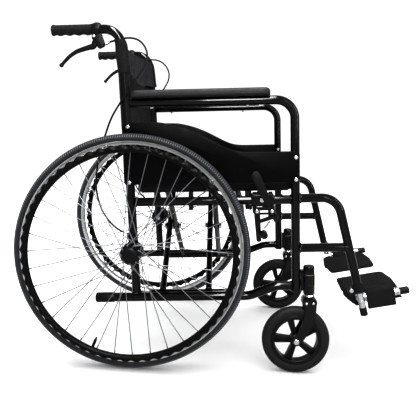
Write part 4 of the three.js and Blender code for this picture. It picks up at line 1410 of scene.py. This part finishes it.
def sleeve():
    """The end of the upper band, sewn round a back post."""
    outer, inner = [], []
    for i in range(25):
        up = FLAP_LOW + (BACK_TOP - FLAP_LOW) * i / 24
        forward, depth = sleeve_place(up)
        hem = 0.0006 * exp(-(((up - FLAP_LOW - 0.005) / 0.003) ** 2))
        ring, lining = [], []
        for angle in turns(40):
            uneven = 0.0009 * noise.noise(Vector((cos(angle) * 1.6, sin(angle) * 1.6, up * 26)))
            across, along = (0.0143 + uneven + hem) * cos(angle), (depth + uneven + hem) * sin(angle)
            ring.append(at(SIDE + across, forward + along, up))
            lining.append(at(SIDE + across * 0.88, forward + along * 0.88, up))
        outer.append(ring)
        inner.append(lining)
    return Shape().rings([*outer, *reversed(inner)], loop=True)


def lower_sleeve():
    """The lower back's own hem, sewn round the post."""
    rows = []
    for i in range(49):
        up = 0.196 + (0.468 - 0.196) * i / 48
        row = []
        for j in range(23):
            angle = radians(-62 + 304 * j / 22)
            r = TUBE + 0.0013 + 0.0004 * noise.noise(Vector((j * 0.35, up * 26, 4.2)))
            row.append(at(SIDE - r * sin(angle), post_forward(up) - r * cos(angle), up))
        rows.append(row)
    return Shape().add(*cloth_shape(rows, 0.0014))


def hemmed(rows, thickness, ends):
    """A sheet with a rolled edge and a double row of stitches along the given end rows."""
    shape = Shape().add(*cloth_shape(rows, thickness))
    for end, inner in ends:
        shape.tube(rows[end], thickness * 0.75, 0, 10)
        for offset_side in (-0.6, 0.6):
            stitches(shape, [p + FORWARD * offset_side * thickness for p in rows[inner]], 1)
    return shape


# Assembly --------------------------------------------------------------

HALF_PIECES = [
    ("back_post", back_post, (PAINT,), "frame", "frame_tube"),
    ("arm_tube", arm_tube, (PAINT, STEEL), "frame", "frame_tube"),
    ("seat_tube", seat_tube, (PAINT, PLASTIC), "frame", "frame_tube"),
    ("lower_rail", lower_rail, (PAINT, PLASTIC, STEEL), "frame", "frame_tube"),
    ("legrest", legrest, (PAINT, PLASTIC, STEEL), "frame", "frame_tube"),
    ("caster_housing", caster_housing, (PAINT, BRASS), "frame", "frame_tube"),
    ("skirt_guard", skirt_guard, (SATIN, STEEL), "frame", "guard_plastic"),
    ("arm_pad", arm_pad, (PAD,), "frame", "pad"),
    ("grip", grip, (GRIP,), "frame", "grip_rubber"),
    ("brake_clamp", brake_clamp, (PLASTIC, STEEL), "frame", "black_plastic"),
    ("brake_cable", brake_cable, (PLASTIC, STEEL), "frame", "cable"),
    ("hub_brake", hub_brake, (PAINT, STEEL), "frame", "frame_tube"),
    ("rear_axle", rear_axle, (STEEL,), "frame", "steel"),
    ("lock_bracket", lock_bracket, (PAINT, PLASTIC, STEEL), "frame", "frame_tube"),
    ("brake_lever", brake_lever, (PLASTIC,), "brake", "black_plastic"),
    ("tyre", tyre, (TYRE, TREAD_HIGHLIGHT), "wheel", "tyre"),
    ("rim", rim, (RIM, LINK, PLASTIC), "wheel", "rim_metal"),
    ("spoked_hub", spoked_hub, (PAINT, PLASTIC, WIRE), "wheel", "spoke_steel"),
    ("handrim", handrim, (HANDRIM, STEEL), "wheel", "handrim_plastic"),
    ("caster_fork", caster_fork, (PAINT, STEEL), "caster", "frame_tube"),
    ("caster_axle", caster_axle, (STEEL,), "caster", "steel"),
    ("caster_wheel", caster_wheel, (PLASTIC,), "caster_roller", "caster_plastic"),
    ("caster_tyre", caster_tyre, (CASTER_TYRE,), "caster_roller", "tyre"),
    ("footrest_tube", footrest_tube, (STEEL, PLASTIC), "footrest", "steel"),
    ("footplate", footplate, (TREAD_PLASTIC, STEEL), "plate", "plate_plastic"),
    ("lock_lever", lock_lever, (PLASTIC, STEEL, PAINT), "lock", "black_plastic"),
    ("lock_shoe", lock_shoe, (PAINT, STEEL, PLASTIC), "shoe", "frame_tube"),
]

for name, make, materials, body, slot in HALF_PIECES:
    shape = make()
    for side, mirror in (("left", False), ("right", True)):
        thing = add_piece(f"{side}_{name}_v", shape, materials, f"{side}_{body}", [f"{side}_{name}"],
                          mirror)

add_piece("cross_brace_a_v", cross_brace(1, BRACE_A_LEGS), (PAINT, PLASTIC), "brace_a",
          ["cross_brace_a"])
add_piece("cross_brace_b_v", cross_brace(-1, BRACE_B_LEGS), (PAINT, PLASTIC), "brace_b",
          ["cross_brace_b"])
for name, leg in (("rear", 0), ("front", 1)):
    add_piece(f"brace_pin_{name}_v", brace_pin(leg), (STEEL,), "brace_a", [f"brace_pin_{name}"])

# The seat takes the darker upholstery copy so that its edge under the skirt guard reads black; that
# darkness is partly painted shade from the guard.
seat = make_object("seat_sling_v", seat_piece(), (DARK_CLOTH_AND_SHADE, PLASTIC))
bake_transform(seat)
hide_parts("seat_sling")


def add_back_sheet(cloth, sleeve_name, sleeve_shape):
    """Hangs a cloth between the back posts, with a sleeve round each."""
    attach(cloth, "right_frame")
    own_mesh(cloth)
    for side, mirror in (("left", False), ("right", True)):
        # Both sleeves take the darker upholstery copy; on the upper sleeve, the end of the charcoal band,
        # that darkness is painted shade round the post.
        thing = make_object(f"{side}_{sleeve_name}_v", sleeve_shape, (DARK_CLOTH_AND_SHADE,), mirror)
        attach(thing, f"{side}_frame")


lower_back = make_object("back_panel_v", hemmed(back_panel(), CLOTH, ((0, 2),)), (DARK_CLOTH_AND_SHADE, PLASTIC))
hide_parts("back_panel")
add_back_sheet(lower_back, "back_lower_sleeve", lower_sleeve())
upper_band = make_object("back_flap_v", hemmed(back_flap(), CLOTH, ((0, 1), (-1, -2))), (FABRIC, PLASTIC))
add_back_sheet(upper_band, "back_sleeve", sleeve())

# Floor, light and camera -----------------------------------------------


def stage_floor():
    shape = Shape().add([(-9, -9, 0), (9, -9, 0), (9, 9, 0), (-9, 9, 0)], [[0, 1, 2, 3]])
    finish = Finish("pale_floor", 0.9, specular=0.05)
    finish.colour(finish.noise(3.0), (0.93, 0.93, 0.93), (0.96, 0.96, 0.96))
    floor = make_object("floor", shape, (finish.material,))
    floor.location.z = -0.0005


def softbox(name, place, target, size, power, seen="glossy"):
    """A rectangular light, out of sight, that adds either highlights or, seen as diffuse, only light."""
    light = bpy.data.lights.new(name, "AREA")
    light.shape, light.size, light.size_y = "RECTANGLE", size[0], size[1]
    light.energy = power
    thing = bpy.data.objects.new(name, light)
    thing.location = place
    thing.rotation_euler = (Vector(target) - Vector(place)).to_track_quat("-Z", "Y").to_euler()
    thing.visible_camera = False
    thing.visible_diffuse = seen == "diffuse"
    thing.visible_glossy = seen == "glossy"
    bpy.context.scene.collection.objects.link(thing)


def world_light(strength):
    world = bpy.context.scene.world or bpy.data.worlds.new("world")
    bpy.context.scene.world = world
    world.use_nodes = True
    background = world.node_tree.nodes["Background"]
    background.inputs["Color"].default_value = (1, 1, 1, 1)
    background.inputs["Strength"].default_value = strength


def main_camera():
    """The camera stands level with the arms, to the sitter's right, a little ahead of the rear wheels."""
    yaw, pitch, roll = radians(1.42), radians(-5.43), radians(2.98)
    ahead = Vector((cos(yaw), sin(yaw), 0))
    right = Vector((sin(yaw), -cos(yaw), 0))
    above = Vector((0, 0, 1))
    view, top = ahead * cos(pitch) + above * sin(pitch), above * cos(pitch) - ahead * sin(pitch)
    right, top = right * cos(roll) + top * sin(roll), top * cos(roll) - right * sin(roll)
    data = bpy.data.cameras.new("camera")
    data.sensor_width, data.lens = 36.0, 43.16
    data.shift_x, data.shift_y = -0.0135, -0.0842
    camera = bpy.data.objects.new("camera", data)
    turn = Matrix((right, top, -view)).transposed().to_4x4()
    camera.matrix_world = Matrix.Translation((-1.517, AXLE.y - 0.2302, 0.6403)) @ turn
    bpy.context.scene.collection.objects.link(camera)
    bpy.context.scene.camera = camera


stage_floor()
world_light(1.12)
softbox("fill", (0, 0, 3.2), (0, 0, 0), (5.0, 5.0), 170, "diffuse")
softbox("top", (-1.35, 0.0, 2.15), (-0.2, 0, 0.4), (0.42, 3.0), 300)
softbox("side", (-2.3, -0.9, 1.3), (0, 0, 0.4), (0.3, 1.5), 14)
softbox("front", (-1.2, -2.2, 1.5), (0, 0, 0.4), (0.12, 1.5), 45)
main_camera()
bpy.context.scene.view_settings.view_transform = "Standard"
bpy.context.scene.view_settings.gamma = 0.8

bpy.context.view_layer.update()
